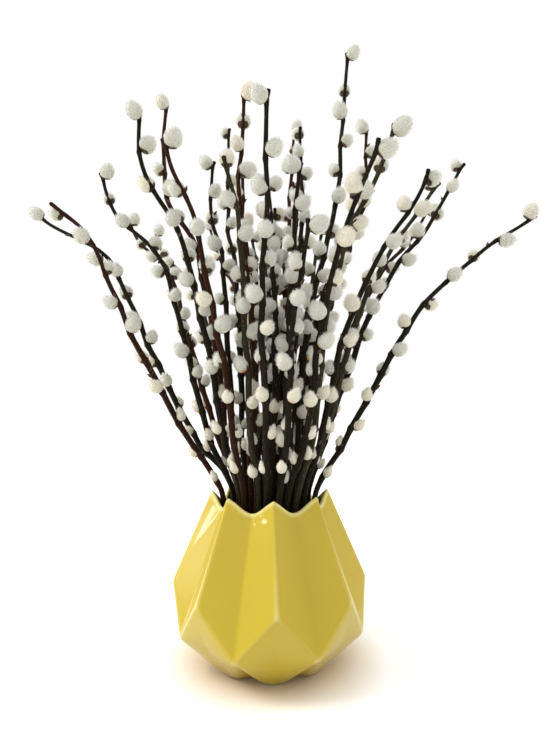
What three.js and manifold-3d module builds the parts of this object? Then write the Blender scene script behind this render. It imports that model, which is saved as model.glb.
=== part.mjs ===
// A bunch of pussy-willow branches standing in a pleated ceramic vase.
// Millimetres, +Z up. The origin is the centre of the vase's foot, on the surface it stands on;
// the front is -Y and +X is to the right.
import * as THREE from 'three';
import { mergeVertices } from 'three/addons/utils/BufferGeometryUtils.js';
import Module from 'manifold-3d';

const wasm = await Module();
wasm.setup();

const DEG = Math.PI / 180;

// ---------- driving dimensions ----------

// The vase is folded into pleats: ridges run from the rim's peaks down to the belly and valleys
// from the rim's dips down to the hips, where flat kites turn in under it to the toes of the foot.
const VASE = {
  pleats: 8,
  firstRidge: 3.2 * DEG,
  peak: { r: 51.6, z: 140 },
  dip: { r: 44.4, z: 128.5 },
  belly: { r: 85, z: 65 },
  hip: { r: 81, z: 28.6 },
  toe: { r: 50, z: 0 },
  toeCorner: { r: 48.5, z: 0, turn: 10 * DEG },
  heel: { r: 40, z: 0 },
  wall: 3.6,
  floor: 5.5,
  rimSteps: 4,
};

const BRANCHES = 40;
const CUT_END = VASE.floor + 0.3;
const STEM_FOOT = 2.2;
const STEM_NECK = 2.45;
const STEM_TIP = 1;
const STEM_SIDES = 4;
const STEM_STEP = 34;
const SEED = 7;

// How far the outermost branches reach from the axis at each height, on the left and the right.
const REACH_RIGHT = [
  [0, 28], [60, 30], [100, 35], [125, 40.5], [143, 44.4], [184, 67], [247, 103], [301, 136],
  [352, 187], [388, 233], [440, 275], [560, 330],
];
const REACH_LEFT = [
  [0, 28], [60, 30], [100, 35], [125, 40.5], [143, 44.4], [184, 72], [232, 103], [268, 127],
  [309, 152], [359, 188], [394, 256], [440, 280], [560, 310],
];
// Near the rim the branches keep off the valleys of the neck, by this share.
const NECK = { height: 137, reach: 40, pinch: 0.165 };
// The bunch is shallower than it is wide, by these shares, once it is freed above the rim.
const DEPTH_SHORTFALL = { front: 0.32, back: 0.14 };
const FREEING_HEIGHT = 110;
// The clear column left down the middle, and how evenly the branches fill the circle.
const HOLLOW = [[0, 7], [150, 7], [300, 3], [420, 0], [560, 0]];
const CROWDING = [[0, 0.5], [140, 0.5], [190, 0.7], [235, 0.85], [300, 0.95], [400, 1], [560, 1]];
// The bunch turns a little as it rises, and its layers slide past each other above the rim.
const TWIST = [[0, -20 * DEG], [140, 0], [300, 9 * DEG], [450, 14 * DEG], [560, 15 * DEG]];
const SLIDE = [[0, 0], [140, 0], [300, 0.09], [420, 0.13], [560, 0.13]];
const SLIDE_WAVES = { acrossDepth: 3.1, acrossWidth: 2.7, phaseX: 0.7, phaseY: 2.1 };
const WANDER = [[0, 0], [110, 0.2], [200, 1.2], [400, 4.5], [560, 6]];
const WANDER_WAVE = { shortest: 38, spread: 30, turn: 2.3 };
// The least share of the way out from the hollow at which a leading branch stands.
const LEAST_PLACE = 0.02;

// The branches that draw the outline of the bunch, by where their tips end.
const LEADING_TIPS = [
  [222, 0, 388], [196, 15, 446], [166, 60, 421], [126, -55, 397], [94, -95, 420], [72, -130, 385],
  [93, 60, 496], [61, 10, 533], [11, -140, 418], [-26, -35, 482], [-49, 70, 500], [-34, -90, 394],
  [-84, 30, 449], [-94, -20, 482], [-99, -70, 440], [-161, 5, 429], [-174, -45, 372],
  [-223, 20, 397], [160, -10, 405], [45, -180, 342], [32, 90, 515], [44, 20, 480],
];
// The others fill the gaps and end in a band that rises towards the back.
const FILL_TIP = { middle: 396, risePerDepth: 0.24, spread: 46 };
const FILL = { tries: 90, leastSpot: 0.02, spotRange: 0.8, probeWave: 50 };
// The spots at the neck, in shares of its width, are pushed apart to a spacing.
const SPREADING = { rounds: 200, spacing: 0.255, push: 0.25, leastReach: 0.13 };

// Catkins are egg-shaped buds that alternate round each branch, smaller towards the vase.
const CATKIN = {
  sides: 4,
  length: 14.3,
  width: 11.6,
  lowerLength: 11.2,
  lowerWidth: 6.6,
  first: 3,
  spacing: 26,
  lowerSpacing: 29,
  lowest: 147,
  fullSizeHeight: 285,
  turn: 137.5 * DEG,
  lean: 40 * DEG,
  lowerLean: 17 * DEG,
  sunk: 0.6,
  gap: 0.7,
  rimMargin: 3,
  retries: 7,
  retryTurn: 0.9,
  retryShrink: 0.05,
  smallest: 0.88,
  sizeSpread: 0.2,
  leastStep: 0.8,
  stepSpread: 0.4,
  widest: 0.45,
  balls: [{ along: 0.42, size: 1 }, { along: 0.68, size: 0.86 }],
};

const COLOURS = {
  glaze: { color: 0xd9c04a, roughness: 0.15, metalness: 0 },
  darkBark: { color: 0x2a201c, roughness: 0.6, metalness: 0 },
  redBark: { color: 0x40241f, roughness: 0.55, metalness: 0 },
  oliveBark: { color: 0x45412c, roughness: 0.6, metalness: 0 },
};

const BARKS = ['darkBark', 'darkBark', 'redBark', 'darkBark', 'oliveBark', 'darkBark', 'redBark'];

// ---------- small helpers ----------

// Repeatable random numbers from 0 to 1, from whole-number steps that any language gives alike.
const RANDOM_STEP = 16807;
const RANDOM_MODULUS = 2147483647;

function randomStream(seed) {
  let state = seed;
  return () => {
    state = (state * RANDOM_STEP) % RANDOM_MODULUS;
    return state / RANDOM_MODULUS;
  };
}

function clamp(value, low, high) {
  return Math.min(Math.max(value, low), high);
}

function mix(low, high, share) {
  return low + (high - low) * share;
}

// A smooth curve through [height, value] pairs.
function curveAt(table, height) {
  const last = table.length - 2;
  let i = 0;
  while (i < last && height > table[i + 1][0]) {
    i += 1;
  }
  const slope = (j) => {
    const a = Math.max(j - 1, 0);
    const b = Math.min(j + 1, table.length - 1);
    return (table[b][1] - table[a][1]) / (table[b][0] - table[a][0]);
  };
  const [x0, y0] = table[i];
  const [x1, y1] = table[i + 1];
  const span = x1 - x0;
  const t = clamp((height - x0) / span, 0, 1);
  const rise = t * t * (3 - 2 * t);
  const leave = t * (1 - t) * (1 - t) * span * slope(i);
  const arrive = t * t * (t - 1) * span * slope(i + 1);
  return y0 + (y1 - y0) * rise + leave + arrive;
}

function polar(radius, angle, height) {
  return new THREE.Vector3(radius * Math.sin(angle), -radius * Math.cos(angle), height);
}

function toManifold(geometry) {
  const bare = geometry.clone();
  bare.deleteAttribute('normal');
  bare.deleteAttribute('uv');
  const merged = mergeVertices(bare, 1e-4);
  return new wasm.Manifold(new wasm.Mesh({
    numProp: 3,
    vertProperties: new Float32Array(merged.attributes.position.array),
    triVerts: new Uint32Array(merged.index.array),
  }));
}

function fromManifold(solid) {
  const mesh = solid.getMesh();
  const geometry = new THREE.BufferGeometry();
  geometry.setAttribute('position', new THREE.BufferAttribute(new Float32Array(mesh.vertProperties), 3));
  geometry.setIndex(new THREE.BufferAttribute(new Uint32Array(mesh.triVerts), 1));
  geometry.computeVertexNormals();
  return geometry;
}

// ---------- the vase ----------

// One pleated skin, pulled in by an inset, with its foot at a given height. Its faces look away
// from the middle of the vase.
function pleatedSkin(inset, footHeight) {
  const centre = new THREE.Vector3(0, 0, VASE.peak.z / 2);
  const triangles = [];
  const rim = [];
  const foot = [];
  const add = (a, b, c) => {
    const normal = b.clone().sub(a).cross(c.clone().sub(a));
    const outward = a.clone().add(b).add(c).divideScalar(3).sub(centre);
    triangles.push(normal.dot(outward) > 0 ? [a, b, c] : [a, c, b]);
  };
  const halfPleat = Math.PI / VASE.pleats;
  const lift = (z) => Math.max(z, footHeight);
  const at = (corner, angle) => polar(corner.r - inset, angle, lift(corner.z));
  for (let pleat = 0; pleat < VASE.pleats; pleat += 1) {
    const ridge = VASE.firstRidge + 2 * halfPleat * pleat;
    const peak = at(VASE.peak, ridge);
    const belly = at(VASE.belly, ridge);
    const toe = at(VASE.toe, ridge);
    const sides = [-1, 1].map((side) => {
      const valley = ridge + side * halfPleat;
      const dip = at(VASE.dip, valley);
      const hip = at(VASE.hip, valley);
      const corner = at(VASE.toeCorner, ridge + side * VASE.toeCorner.turn);
      const heel = at(VASE.heel, valley);
      return { dip, hip, corner, heel, edge: rimEdge(peak, dip, belly, hip) };
    });
    for (const { hip, corner, heel, edge } of sides) {
      for (let i = 0; i < VASE.rimSteps; i += 1) {
        add(belly, edge[i], edge[i + 1]);
      }
      add(belly, edge[VASE.rimSteps], hip);
      add(hip, corner, heel);
      add(hip, toe, corner);
    }
    add(belly, sides[0].hip, sides[1].hip);
    add(toe, sides[0].hip, sides[1].hip);
    rim.push(...sides[0].edge.slice(1).reverse(), ...sides[1].edge.slice(0, -1));
    foot.push(sides[0].heel, sides[0].corner, toe, sides[1].corner);
  }
  return { triangles, rim, foot };
}

// The rim's wave from a peak down to a dip, lying in the facet below it.
function rimEdge(peak, dip, belly, hip) {
  const points = [];
  for (let i = 0; i <= VASE.rimSteps; i += 1) {
    const t = i / VASE.rimSteps;
    const chord = peak.clone().lerp(dip, t);
    const wave = dip.z + (peak.z - dip.z) * (0.5 + 0.5 * Math.cos(Math.PI * t));
    const down = belly.clone().sub(peak).lerp(hip.clone().sub(dip), t);
    points.push(chord.addScaledVector(down, (wave - chord.z) / down.z));
  }
  return points;
}

function vaseGeometry() {
  const outside = pleatedSkin(0, 0);
  const inside = pleatedSkin(VASE.wall, VASE.floor);
  const triangles = [...outside.triangles, ...inside.triangles.map(([a, b, c]) => [a, c, b])];
  const strip = (low, high) => {
    for (let i = 0; i < low.length; i += 1) {
      const j = (i + 1) % low.length;
      triangles.push([low[i], low[j], high[j]], [low[i], high[j], high[i]]);
    }
  };
  strip(outside.rim, inside.rim);
  const cap = (loop, height, down) => {
    const middle = new THREE.Vector3(0, 0, height);
    for (let i = 0; i < loop.length; i += 1) {
      const next = loop[(i + 1) % loop.length];
      triangles.push(down ? [middle, next, loop[i]] : [middle, loop[i], next]);
    }
  };
  cap(outside.foot, 0, true);
  cap(inside.foot, VASE.floor, false);
  const geometry = new THREE.BufferGeometry().setFromPoints(triangles.flat());
  return fromManifold(toManifold(geometry));
}

// ---------- how the branches run ----------

// The farthest that a branch may stand from the axis, in a direction and at a height. Inside the
// neck it follows the pleats.
function reach(angle, height) {
  const rightness = 0.5 + 0.5 * Math.sin(angle);
  const open = curveAt(REACH_RIGHT, height) * rightness + curveAt(REACH_LEFT, height) * (1 - rightness);
  const shortfall = Math.cos(angle) > 0 ? DEPTH_SHORTFALL.front : DEPTH_SHORTFALL.back;
  const shallow = 1 - shortfall * Math.abs(Math.cos(angle));
  const freed = clamp((height - VASE.peak.z) / FREEING_HEIGHT, 0, 1);
  const neck = Math.max(0, 1 - Math.abs(height - NECK.height) / NECK.reach);
  const valley = 0.5 - 0.5 * Math.cos(VASE.pleats * (angle - VASE.firstRidge));
  return open * (1 - NECK.pinch * valley * Math.min(1, neck * 2)) * (1 + (shallow - 1) * freed);
}

// Where a branch is at a height, from its place in the bunch. Two branches never meet, because
// each step keeps different places apart.
function branchPoint(branch, height) {
  const slide = curveAt(SLIDE, height);
  let x = branch.x + slide * Math.sin(SLIDE_WAVES.acrossDepth * branch.y + SLIDE_WAVES.phaseX);
  let y = branch.y + slide * Math.sin(SLIDE_WAVES.acrossWidth * x + SLIDE_WAVES.phaseY);
  const place = Math.hypot(x, y);
  const angle = Math.atan2(x, -y) + curveAt(TWIST, height);
  const hollow = curveAt(HOLLOW, height);
  const radius = hollow + (reach(angle, height) - hollow) * place ** curveAt(CROWDING, height);
  const wander = curveAt(WANDER, height);
  const sway = height / branch.wave;
  x = radius * Math.sin(angle) + wander * Math.sin(sway + branch.phase);
  y = -radius * Math.cos(angle) + wander * Math.cos(sway + WANDER_WAVE.turn * branch.phase);
  return new THREE.Vector3(x, y, height);
}

// The place in the bunch whose branch passes through a point, before it wanders.
function placeThrough(x, y, height) {
  const turned = Math.atan2(x, -y);
  const hollow = curveAt(HOLLOW, height);
  const share = (Math.hypot(x, y) - hollow) / (reach(turned, height) - hollow);
  const place = clamp(share, LEAST_PLACE, 1) ** (1 / curveAt(CROWDING, height));
  const angle = turned - curveAt(TWIST, height);
  const slide = curveAt(SLIDE, height);
  const slidX = place * Math.sin(angle);
  const slidY = -place * Math.cos(angle);
  const placeY = slidY - slide * Math.sin(SLIDE_WAVES.acrossWidth * slidX + SLIDE_WAVES.phaseY);
  const placeX = slidX - slide * Math.sin(SLIDE_WAVES.acrossDepth * placeY + SLIDE_WAVES.phaseX);
  return [placeX, placeY];
}

// Where a place lies at the rim, as a share of the neck.
function neckSpot(x, y) {
  const place = Math.max(Math.hypot(x, y), 1e-6);
  return [x / Math.sqrt(place), y / Math.sqrt(place)];
}

// Every branch's place: the leading ones from their tips, and the rest in the widest gaps that
// are left at the rim.
function layOutBranches(random) {
  const branches = [];
  const spots = [];
  const plant = (x, y, top) => {
    const phase = 2 * Math.PI * random();
    const wave = WANDER_WAVE.shortest + WANDER_WAVE.spread * random();
    branches.push({ x, y, top, phase, wave, catkins: [] });
    spots.push(neckSpot(x, y));
  };
  for (const [x, y, top] of LEADING_TIPS) {
    plant(...placeThrough(x, y, top), top);
  }
  while (branches.length < BRANCHES) {
    let best = null;
    for (let i = 0; i < FILL.tries; i += 1) {
      const angle = 2 * Math.PI * random();
      const spot = Math.sqrt(FILL.leastSpot + FILL.spotRange * random());
      const candidate = [spot * Math.cos(angle), spot * Math.sin(angle)];
      const room = Math.min(...spots.map(([x, y]) => Math.hypot(x - candidate[0], y - candidate[1])));
      if (!best || room > best.room) {
        best = { room, x: candidate[0] * spot, y: candidate[1] * spot };
      }
    }
    const depth = branchPoint({ ...best, phase: 0, wave: FILL.probeWave }, FILL_TIP.middle).y;
    const rise = FILL_TIP.risePerDepth * depth;
    plant(best.x, best.y, FILL_TIP.middle + rise + FILL_TIP.spread * (2 * random() - 1));
  }
  spreadSpots(spots);
  branches.forEach((branch, i) => {
    const [x, y] = spots[i];
    const share = Math.hypot(x, y);
    Object.assign(branch, { x: x * share, y: y * share });
  });
  return branches;
}

// Moves spots at the neck apart, a little at a time, until none is too near another.
function spreadSpots(spots) {
  for (let round = 0; round < SPREADING.rounds; round += 1) {
    for (let i = 0; i < spots.length; i += 1) {
      for (let j = i + 1; j < spots.length; j += 1) {
        const x = spots[j][0] - spots[i][0];
        const y = spots[j][1] - spots[i][1];
        const apart = Math.hypot(x, y);
        if (apart < SPREADING.spacing) {
          const push = (SPREADING.push * (SPREADING.spacing - apart)) / apart;
          spots[i] = keepInNeck(spots[i][0] - push * x, spots[i][1] - push * y);
          spots[j] = keepInNeck(spots[j][0] + push * x, spots[j][1] + push * y);
        }
      }
    }
  }
}

// A spot kept inside the neck, and off its middle.
function keepInNeck(x, y) {
  const far = Math.hypot(x, y);
  const kept = clamp(far, SPREADING.leastReach, 1) / far;
  return [x * kept, y * kept];
}

// A branch is a touch thinner at its cut end, thickest at the neck, and tapers to its tip.
function stemRadius(branch, height) {
  const neck = VASE.peak.z;
  if (height < neck) {
    return STEM_FOOT + ((STEM_NECK - STEM_FOOT) * (height - CUT_END)) / (neck - CUT_END);
  }
  const share = (height - neck) / (branch.top - neck);
  return STEM_TIP + (STEM_NECK - STEM_TIP) * Math.max(1 - share, 0);
}

// The heights of a branch's straight lengths, and the points where they meet.
function stemJoints(top) {
  const steps = Math.ceil((top - CUT_END) / STEM_STEP);
  return Array.from({ length: steps + 1 }, (_, i) => CUT_END + ((top - CUT_END) * i) / steps);
}

// Where the middle of a branch is at a height, on its straight lengths.
function stemPoint(branch, height) {
  const joints = branch.joints;
  const share = ((height - CUT_END) / (branch.top - CUT_END)) * (joints.length - 1);
  const i = clamp(Math.floor(share), 0, joints.length - 2);
  return joints[i].clone().lerp(joints[i + 1], share - i);
}

// ---------- where the catkins sit ----------

// True if a ball at a point is clear of every other branch and of the catkins placed so far.
function isClear(point, radius, owner, branches) {
  for (const other of branches) {
    if (other !== owner && other.top > point.z - radius) {
      const height = Math.min(point.z, other.top);
      const stem = stemPoint(other, height);
      const flat = Math.hypot(point.x - stem.x, point.y - stem.y);
      const apart = Math.hypot(flat * other.upright, Math.max(point.z - other.top, 0));
      if (apart < radius + stemRadius(other, height) + CATKIN.gap) {
        return false;
      }
    }
    for (const catkin of other.catkins) {
      if (catkin.balls.some((ball) => ball.centre.distanceTo(point) < ball.radius + radius + CATKIN.gap)) {
        return false;
      }
    }
  }
  const wall = VASE.peak.r + CATKIN.rimMargin + radius;
  return point.z - radius > VASE.peak.z || Math.hypot(point.x, point.y) > wall;
}

// How far a catkin at a height has grown, from 0 near the vase to 1 high up.
function growth(height) {
  return clamp((height - CATKIN.lowest) / (CATKIN.fullSizeHeight - CATKIN.lowest), 0, 1);
}

// A catkin on a branch at a height, on the side that an angle gives.
function catkinAt(branch, height, side, scale) {
  const grown = growth(height);
  const base = stemPoint(branch, height);
  const stem = stemPoint(branch, height + 2).sub(stemPoint(branch, height - 2)).normalize();
  const across = new THREE.Vector3(Math.cos(side), Math.sin(side), 0).projectOnPlane(stem).normalize();
  const lean = mix(CATKIN.lowerLean, CATKIN.lean, grown);
  const axis = stem.clone().multiplyScalar(Math.cos(lean)).addScaledVector(across, Math.sin(lean));
  const length = mix(CATKIN.lowerLength, CATKIN.length, grown) * scale;
  const radius = (mix(CATKIN.lowerWidth, CATKIN.width, grown) * scale) / 2;
  base.addScaledVector(across, CATKIN.sunk * stemRadius(branch, height));
  const balls = CATKIN.balls.map(({ along, size }) => ({
    centre: base.clone().addScaledVector(axis, along * length),
    radius: radius * size,
  }));
  return { base, axis, across, length, radius, balls };
}

// Catkins from the tip of a branch down, each turned on from the last. One that has no room
// tries other sides, then a smaller size, and else leaves a bare bud scar.
function placeCatkins(branch, branches, random) {
  let height = branch.top - CATKIN.first;
  let side = 2 * Math.PI * random();
  while (height > CATKIN.lowest) {
    const size = CATKIN.smallest + CATKIN.sizeSpread * random();
    for (let attempt = 0; attempt < CATKIN.retries; attempt += 1) {
      const turned = side + attempt * CATKIN.retryTurn * (attempt % 2 === 0 ? 1 : -1);
      const shrunk = size * (1 - CATKIN.retryShrink * attempt);
      const catkin = catkinAt(branch, height, turned, shrunk);
      if (catkin.balls.every((ball) => isClear(ball.centre, ball.radius, branch, branches))) {
        branch.catkins.push(catkin);
        break;
      }
    }
    const spacing = mix(CATKIN.lowerSpacing, CATKIN.spacing, growth(height));
    height -= spacing * (CATKIN.leastStep + CATKIN.stepSpread * random()) * branch.upright;
    side += CATKIN.turn;
  }
}

// ---------- the branches' solids ----------

// Two directions square to a branch at one of its joints. Its cut end is level.
function crossAxes(branch, i) {
  const { joints } = branch;
  const along = joints[Math.min(i + 1, joints.length - 1)].clone().sub(joints[Math.max(i - 1, 0)]);
  if (i === 0) {
    along.set(0, 0, 1);
  }
  along.normalize();
  const across = new THREE.Vector3(1, 0, 0).projectOnPlane(along).normalize();
  return [across, along.clone().cross(across)];
}

// A round stem that tapers from its cut end to its tip, closed at both ends.
function stemGeometry(branch) {
  const steps = branch.joints.length - 1;
  const positions = [];
  branch.joints.forEach((point, i) => {
    const [across, over] = crossAxes(branch, i);
    const radius = stemRadius(branch, point.z);
    for (let side = 0; side < STEM_SIDES; side += 1) {
      const angle = (2 * Math.PI * side) / STEM_SIDES;
      const corner = point.clone().addScaledVector(across, radius * Math.cos(angle));
      corner.addScaledVector(over, radius * Math.sin(angle));
      positions.push(...corner.toArray());
    }
  });
  const index = [];
  const ring = (i, side) => i * STEM_SIDES + (side % STEM_SIDES);
  for (let side = 0; side < STEM_SIDES; side += 1) {
    for (let i = 0; i < steps; i += 1) {
      index.push(ring(i, side), ring(i, side + 1), ring(i + 1, side + 1));
      index.push(ring(i, side), ring(i + 1, side + 1), ring(i + 1, side));
    }
  }
  for (let side = 1; side < STEM_SIDES - 1; side += 1) {
    index.push(ring(0, 0), ring(0, side + 1), ring(0, side));
    index.push(ring(steps, 0), ring(steps, side), ring(steps, side + 1));
  }
  const geometry = new THREE.BufferGeometry();
  geometry.setAttribute('position', new THREE.Float32BufferAttribute(positions, 3));
  geometry.setIndex(index);
  return geometry;
}

// A catkin's plain body: a turned bud with its pointed foot in the bark.
function catkinGeometry({ base, axis, length, radius }) {
  const profile = [[0, 0], [radius, CATKIN.widest * length], [0, length]];
  const points = profile.map(([x, y]) => new THREE.Vector2(x, y));
  const geometry = new THREE.LatheGeometry(points, CATKIN.sides);
  const upright = new THREE.Vector3(0, 1, 0);
  geometry.applyQuaternion(new THREE.Quaternion().setFromUnitVectors(upright, axis));
  geometry.translate(base.x, base.y, base.z);
  return geometry;
}

function branchGeometry(branch) {
  let solid = toManifold(stemGeometry(branch));
  for (const catkin of branch.catkins) {
    solid = solid.add(toManifold(catkinGeometry(catkin)));
  }
  return fromManifold(solid);
}

// ---------- assembly ----------

function material(name) {
  return new THREE.MeshStandardMaterial({ name, ...COLOURS[name] });
}

function addPiece(group, name, geometry, finish) {
  const mesh = new THREE.Mesh(geometry, material(finish));
  mesh.name = name;
  group.add(mesh);
}

const random = randomStream(SEED);
const branches = layOutBranches(random);
for (const branch of branches) {
  branch.joints = stemJoints(branch.top).map((height) => branchPoint(branch, height));
  const foot = branchPoint(branch, VASE.peak.z);
  const tip = branchPoint(branch, branch.top);
  branch.upright = (tip.z - foot.z) / tip.distanceTo(foot);
}
for (const branch of branches) {
  placeCatkins(branch, branches, random);
}

const group = new THREE.Group();
addPiece(group, 'vase', vaseGeometry(), 'glaze');
branches.forEach((branch, i) => {
  const name = `branch_${String(i + 1).padStart(2, '0')}`;
  addPiece(group, name, branchGeometry(branch), BARKS[i % BARKS.length]);
});

export default group;
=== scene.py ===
"""Dresses a bunch of pussy-willow branches in a pleated yellow vase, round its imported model.

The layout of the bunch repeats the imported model's own rule in millimetres, so every stem and
catkin lies where its solid does. Geometry Nodes recipes then grow the bark, the down and the
bud scales along it, and a drawn pleat goes eight times round the vase.
"""
import logging
import math
from dataclasses import dataclass, field
from enum import Enum
from typing import Any, Iterable, Sequence

import bpy
import numpy as np
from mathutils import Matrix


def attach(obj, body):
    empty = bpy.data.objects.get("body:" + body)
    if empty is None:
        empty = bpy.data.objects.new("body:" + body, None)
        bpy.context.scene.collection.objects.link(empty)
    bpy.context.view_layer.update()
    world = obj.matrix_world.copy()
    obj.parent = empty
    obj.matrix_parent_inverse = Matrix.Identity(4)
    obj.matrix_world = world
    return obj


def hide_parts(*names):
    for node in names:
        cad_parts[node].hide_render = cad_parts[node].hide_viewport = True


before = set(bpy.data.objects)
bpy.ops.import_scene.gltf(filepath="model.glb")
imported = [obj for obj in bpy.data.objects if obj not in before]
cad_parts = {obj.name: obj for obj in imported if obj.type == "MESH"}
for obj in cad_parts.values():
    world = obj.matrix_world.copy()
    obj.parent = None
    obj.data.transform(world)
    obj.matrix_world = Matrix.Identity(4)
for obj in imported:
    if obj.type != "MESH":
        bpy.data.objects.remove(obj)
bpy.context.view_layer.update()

MM = 0.001
DEG = math.pi / 180
BODY = "root"
FIRST_SEED = 100
log = logging.getLogger("willow")

Point = tuple[float, float, float]
Colour = tuple[float, float, float]
Pairs = tuple[tuple[float, float], ...]
Skin = tuple[list[Point], list[tuple[int, ...]]]


# ---------- small vector helpers, in double precision ----------


def plus(a: Point, b: Point, share: float = 1.0) -> Point:
    """The point a moved by a share of b."""
    return (a[0] + b[0] * share, a[1] + b[1] * share, a[2] + b[2] * share)


def minus(a: Point, b: Point) -> Point:
    """The way from b to a."""
    return (a[0] - b[0], a[1] - b[1], a[2] - b[2])


def between(a: Point, b: Point, share: float) -> Point:
    """The point at a share of the way from a to b."""
    return plus(a, minus(b, a), share)


def dot(a: Point, b: Point) -> float:
    """The dot product of two directions."""
    return a[0] * b[0] + a[1] * b[1] + a[2] * b[2]


def unit(a: Point) -> Point:
    """The direction of a, one long."""
    size = math.sqrt(dot(a, a))
    return (a[0] / size, a[1] / size, a[2] / size)


def mix(low: float, high: float, share: float) -> float:
    """The number at a share of the way from low to high."""
    return low + (high - low) * share


def clamp(value: float, low: float = 0.0, high: float = 1.0) -> float:
    """A number kept between two others."""
    return min(max(value, low), high)


# ---------- the layout of the bunch, in millimetres ----------


class RandomStream:
    """Repeatable random numbers from 0 to 1, from whole-number steps."""

    STEP = 16807
    MODULUS = 2147483647
    SETTLING = 3

    def __init__(self, seed: int) -> None:
        """Starts the stream at a whole number."""
        self.state = seed

    def draw(self) -> float:
        """The next number."""
        self.state = self.state * self.STEP % self.MODULUS
        return self.state / self.MODULUS

    @classmethod
    def settled(cls, seed: int) -> "RandomStream":
        """A stream past its first draws, which are small where the seed is.

        Args:
            seed: The whole number that it starts from.

        Returns:
            The stream.
        """
        stream = cls(seed)
        for _ in range(cls.SETTLING):
            stream.draw()
        return stream


@dataclass(frozen=True)
class Profile:
    """A smooth curve through (height, value) pairs."""

    pairs: Pairs

    def slope(self, i: int) -> float:
        """How steep the curve is at one of its pairs.

        Args:
            i: Which pair.

        Returns:
            The slope there.
        """
        a = max(i - 1, 0)
        b = min(i + 1, len(self.pairs) - 1)
        return (self.pairs[b][1] - self.pairs[a][1]) / (self.pairs[b][0] - self.pairs[a][0])

    def at(self, height: float) -> float:
        """The curve's value at a height.

        Args:
            height: The height, in millimetres.

        Returns:
            The value there.
        """
        last = len(self.pairs) - 2
        i = 0
        while i < last and height > self.pairs[i + 1][0]:
            i += 1
        x0, y0 = self.pairs[i]
        x1, y1 = self.pairs[i + 1]
        span = x1 - x0
        t = clamp((height - x0) / span)
        rise = t * t * (3 - 2 * t)
        leave = t * (1 - t) * (1 - t) * span * self.slope(i)
        arrive = t * t * (t - 1) * span * self.slope(i + 1)
        return y0 + (y1 - y0) * rise + leave + arrive


class Bark(Enum):
    """The barks that the branches come in, by their slot names."""

    DARK = "dark_bark"
    RED = "red_bark"
    OLIVE = "olive_bark"


BARK_ORDER = (Bark.DARK, Bark.DARK, Bark.RED, Bark.DARK, Bark.OLIVE, Bark.DARK, Bark.RED)


@dataclass
class Catkin:
    """One catkin: where it grows from, which way it points and how big it is."""

    base: Point
    axis: Point
    across: Point
    length: float
    radius: float
    height: float
    balls: list[tuple[Point, float]]


@dataclass
class Branch:
    """One branch: its place in the bunch, its straight lengths and what grows on it."""

    x: float
    y: float
    top: float
    phase: float
    wave: float
    joints: list[Point] = field(default_factory=list)
    upright: float = 1.0
    catkins: list[Catkin] = field(default_factory=list)


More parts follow.
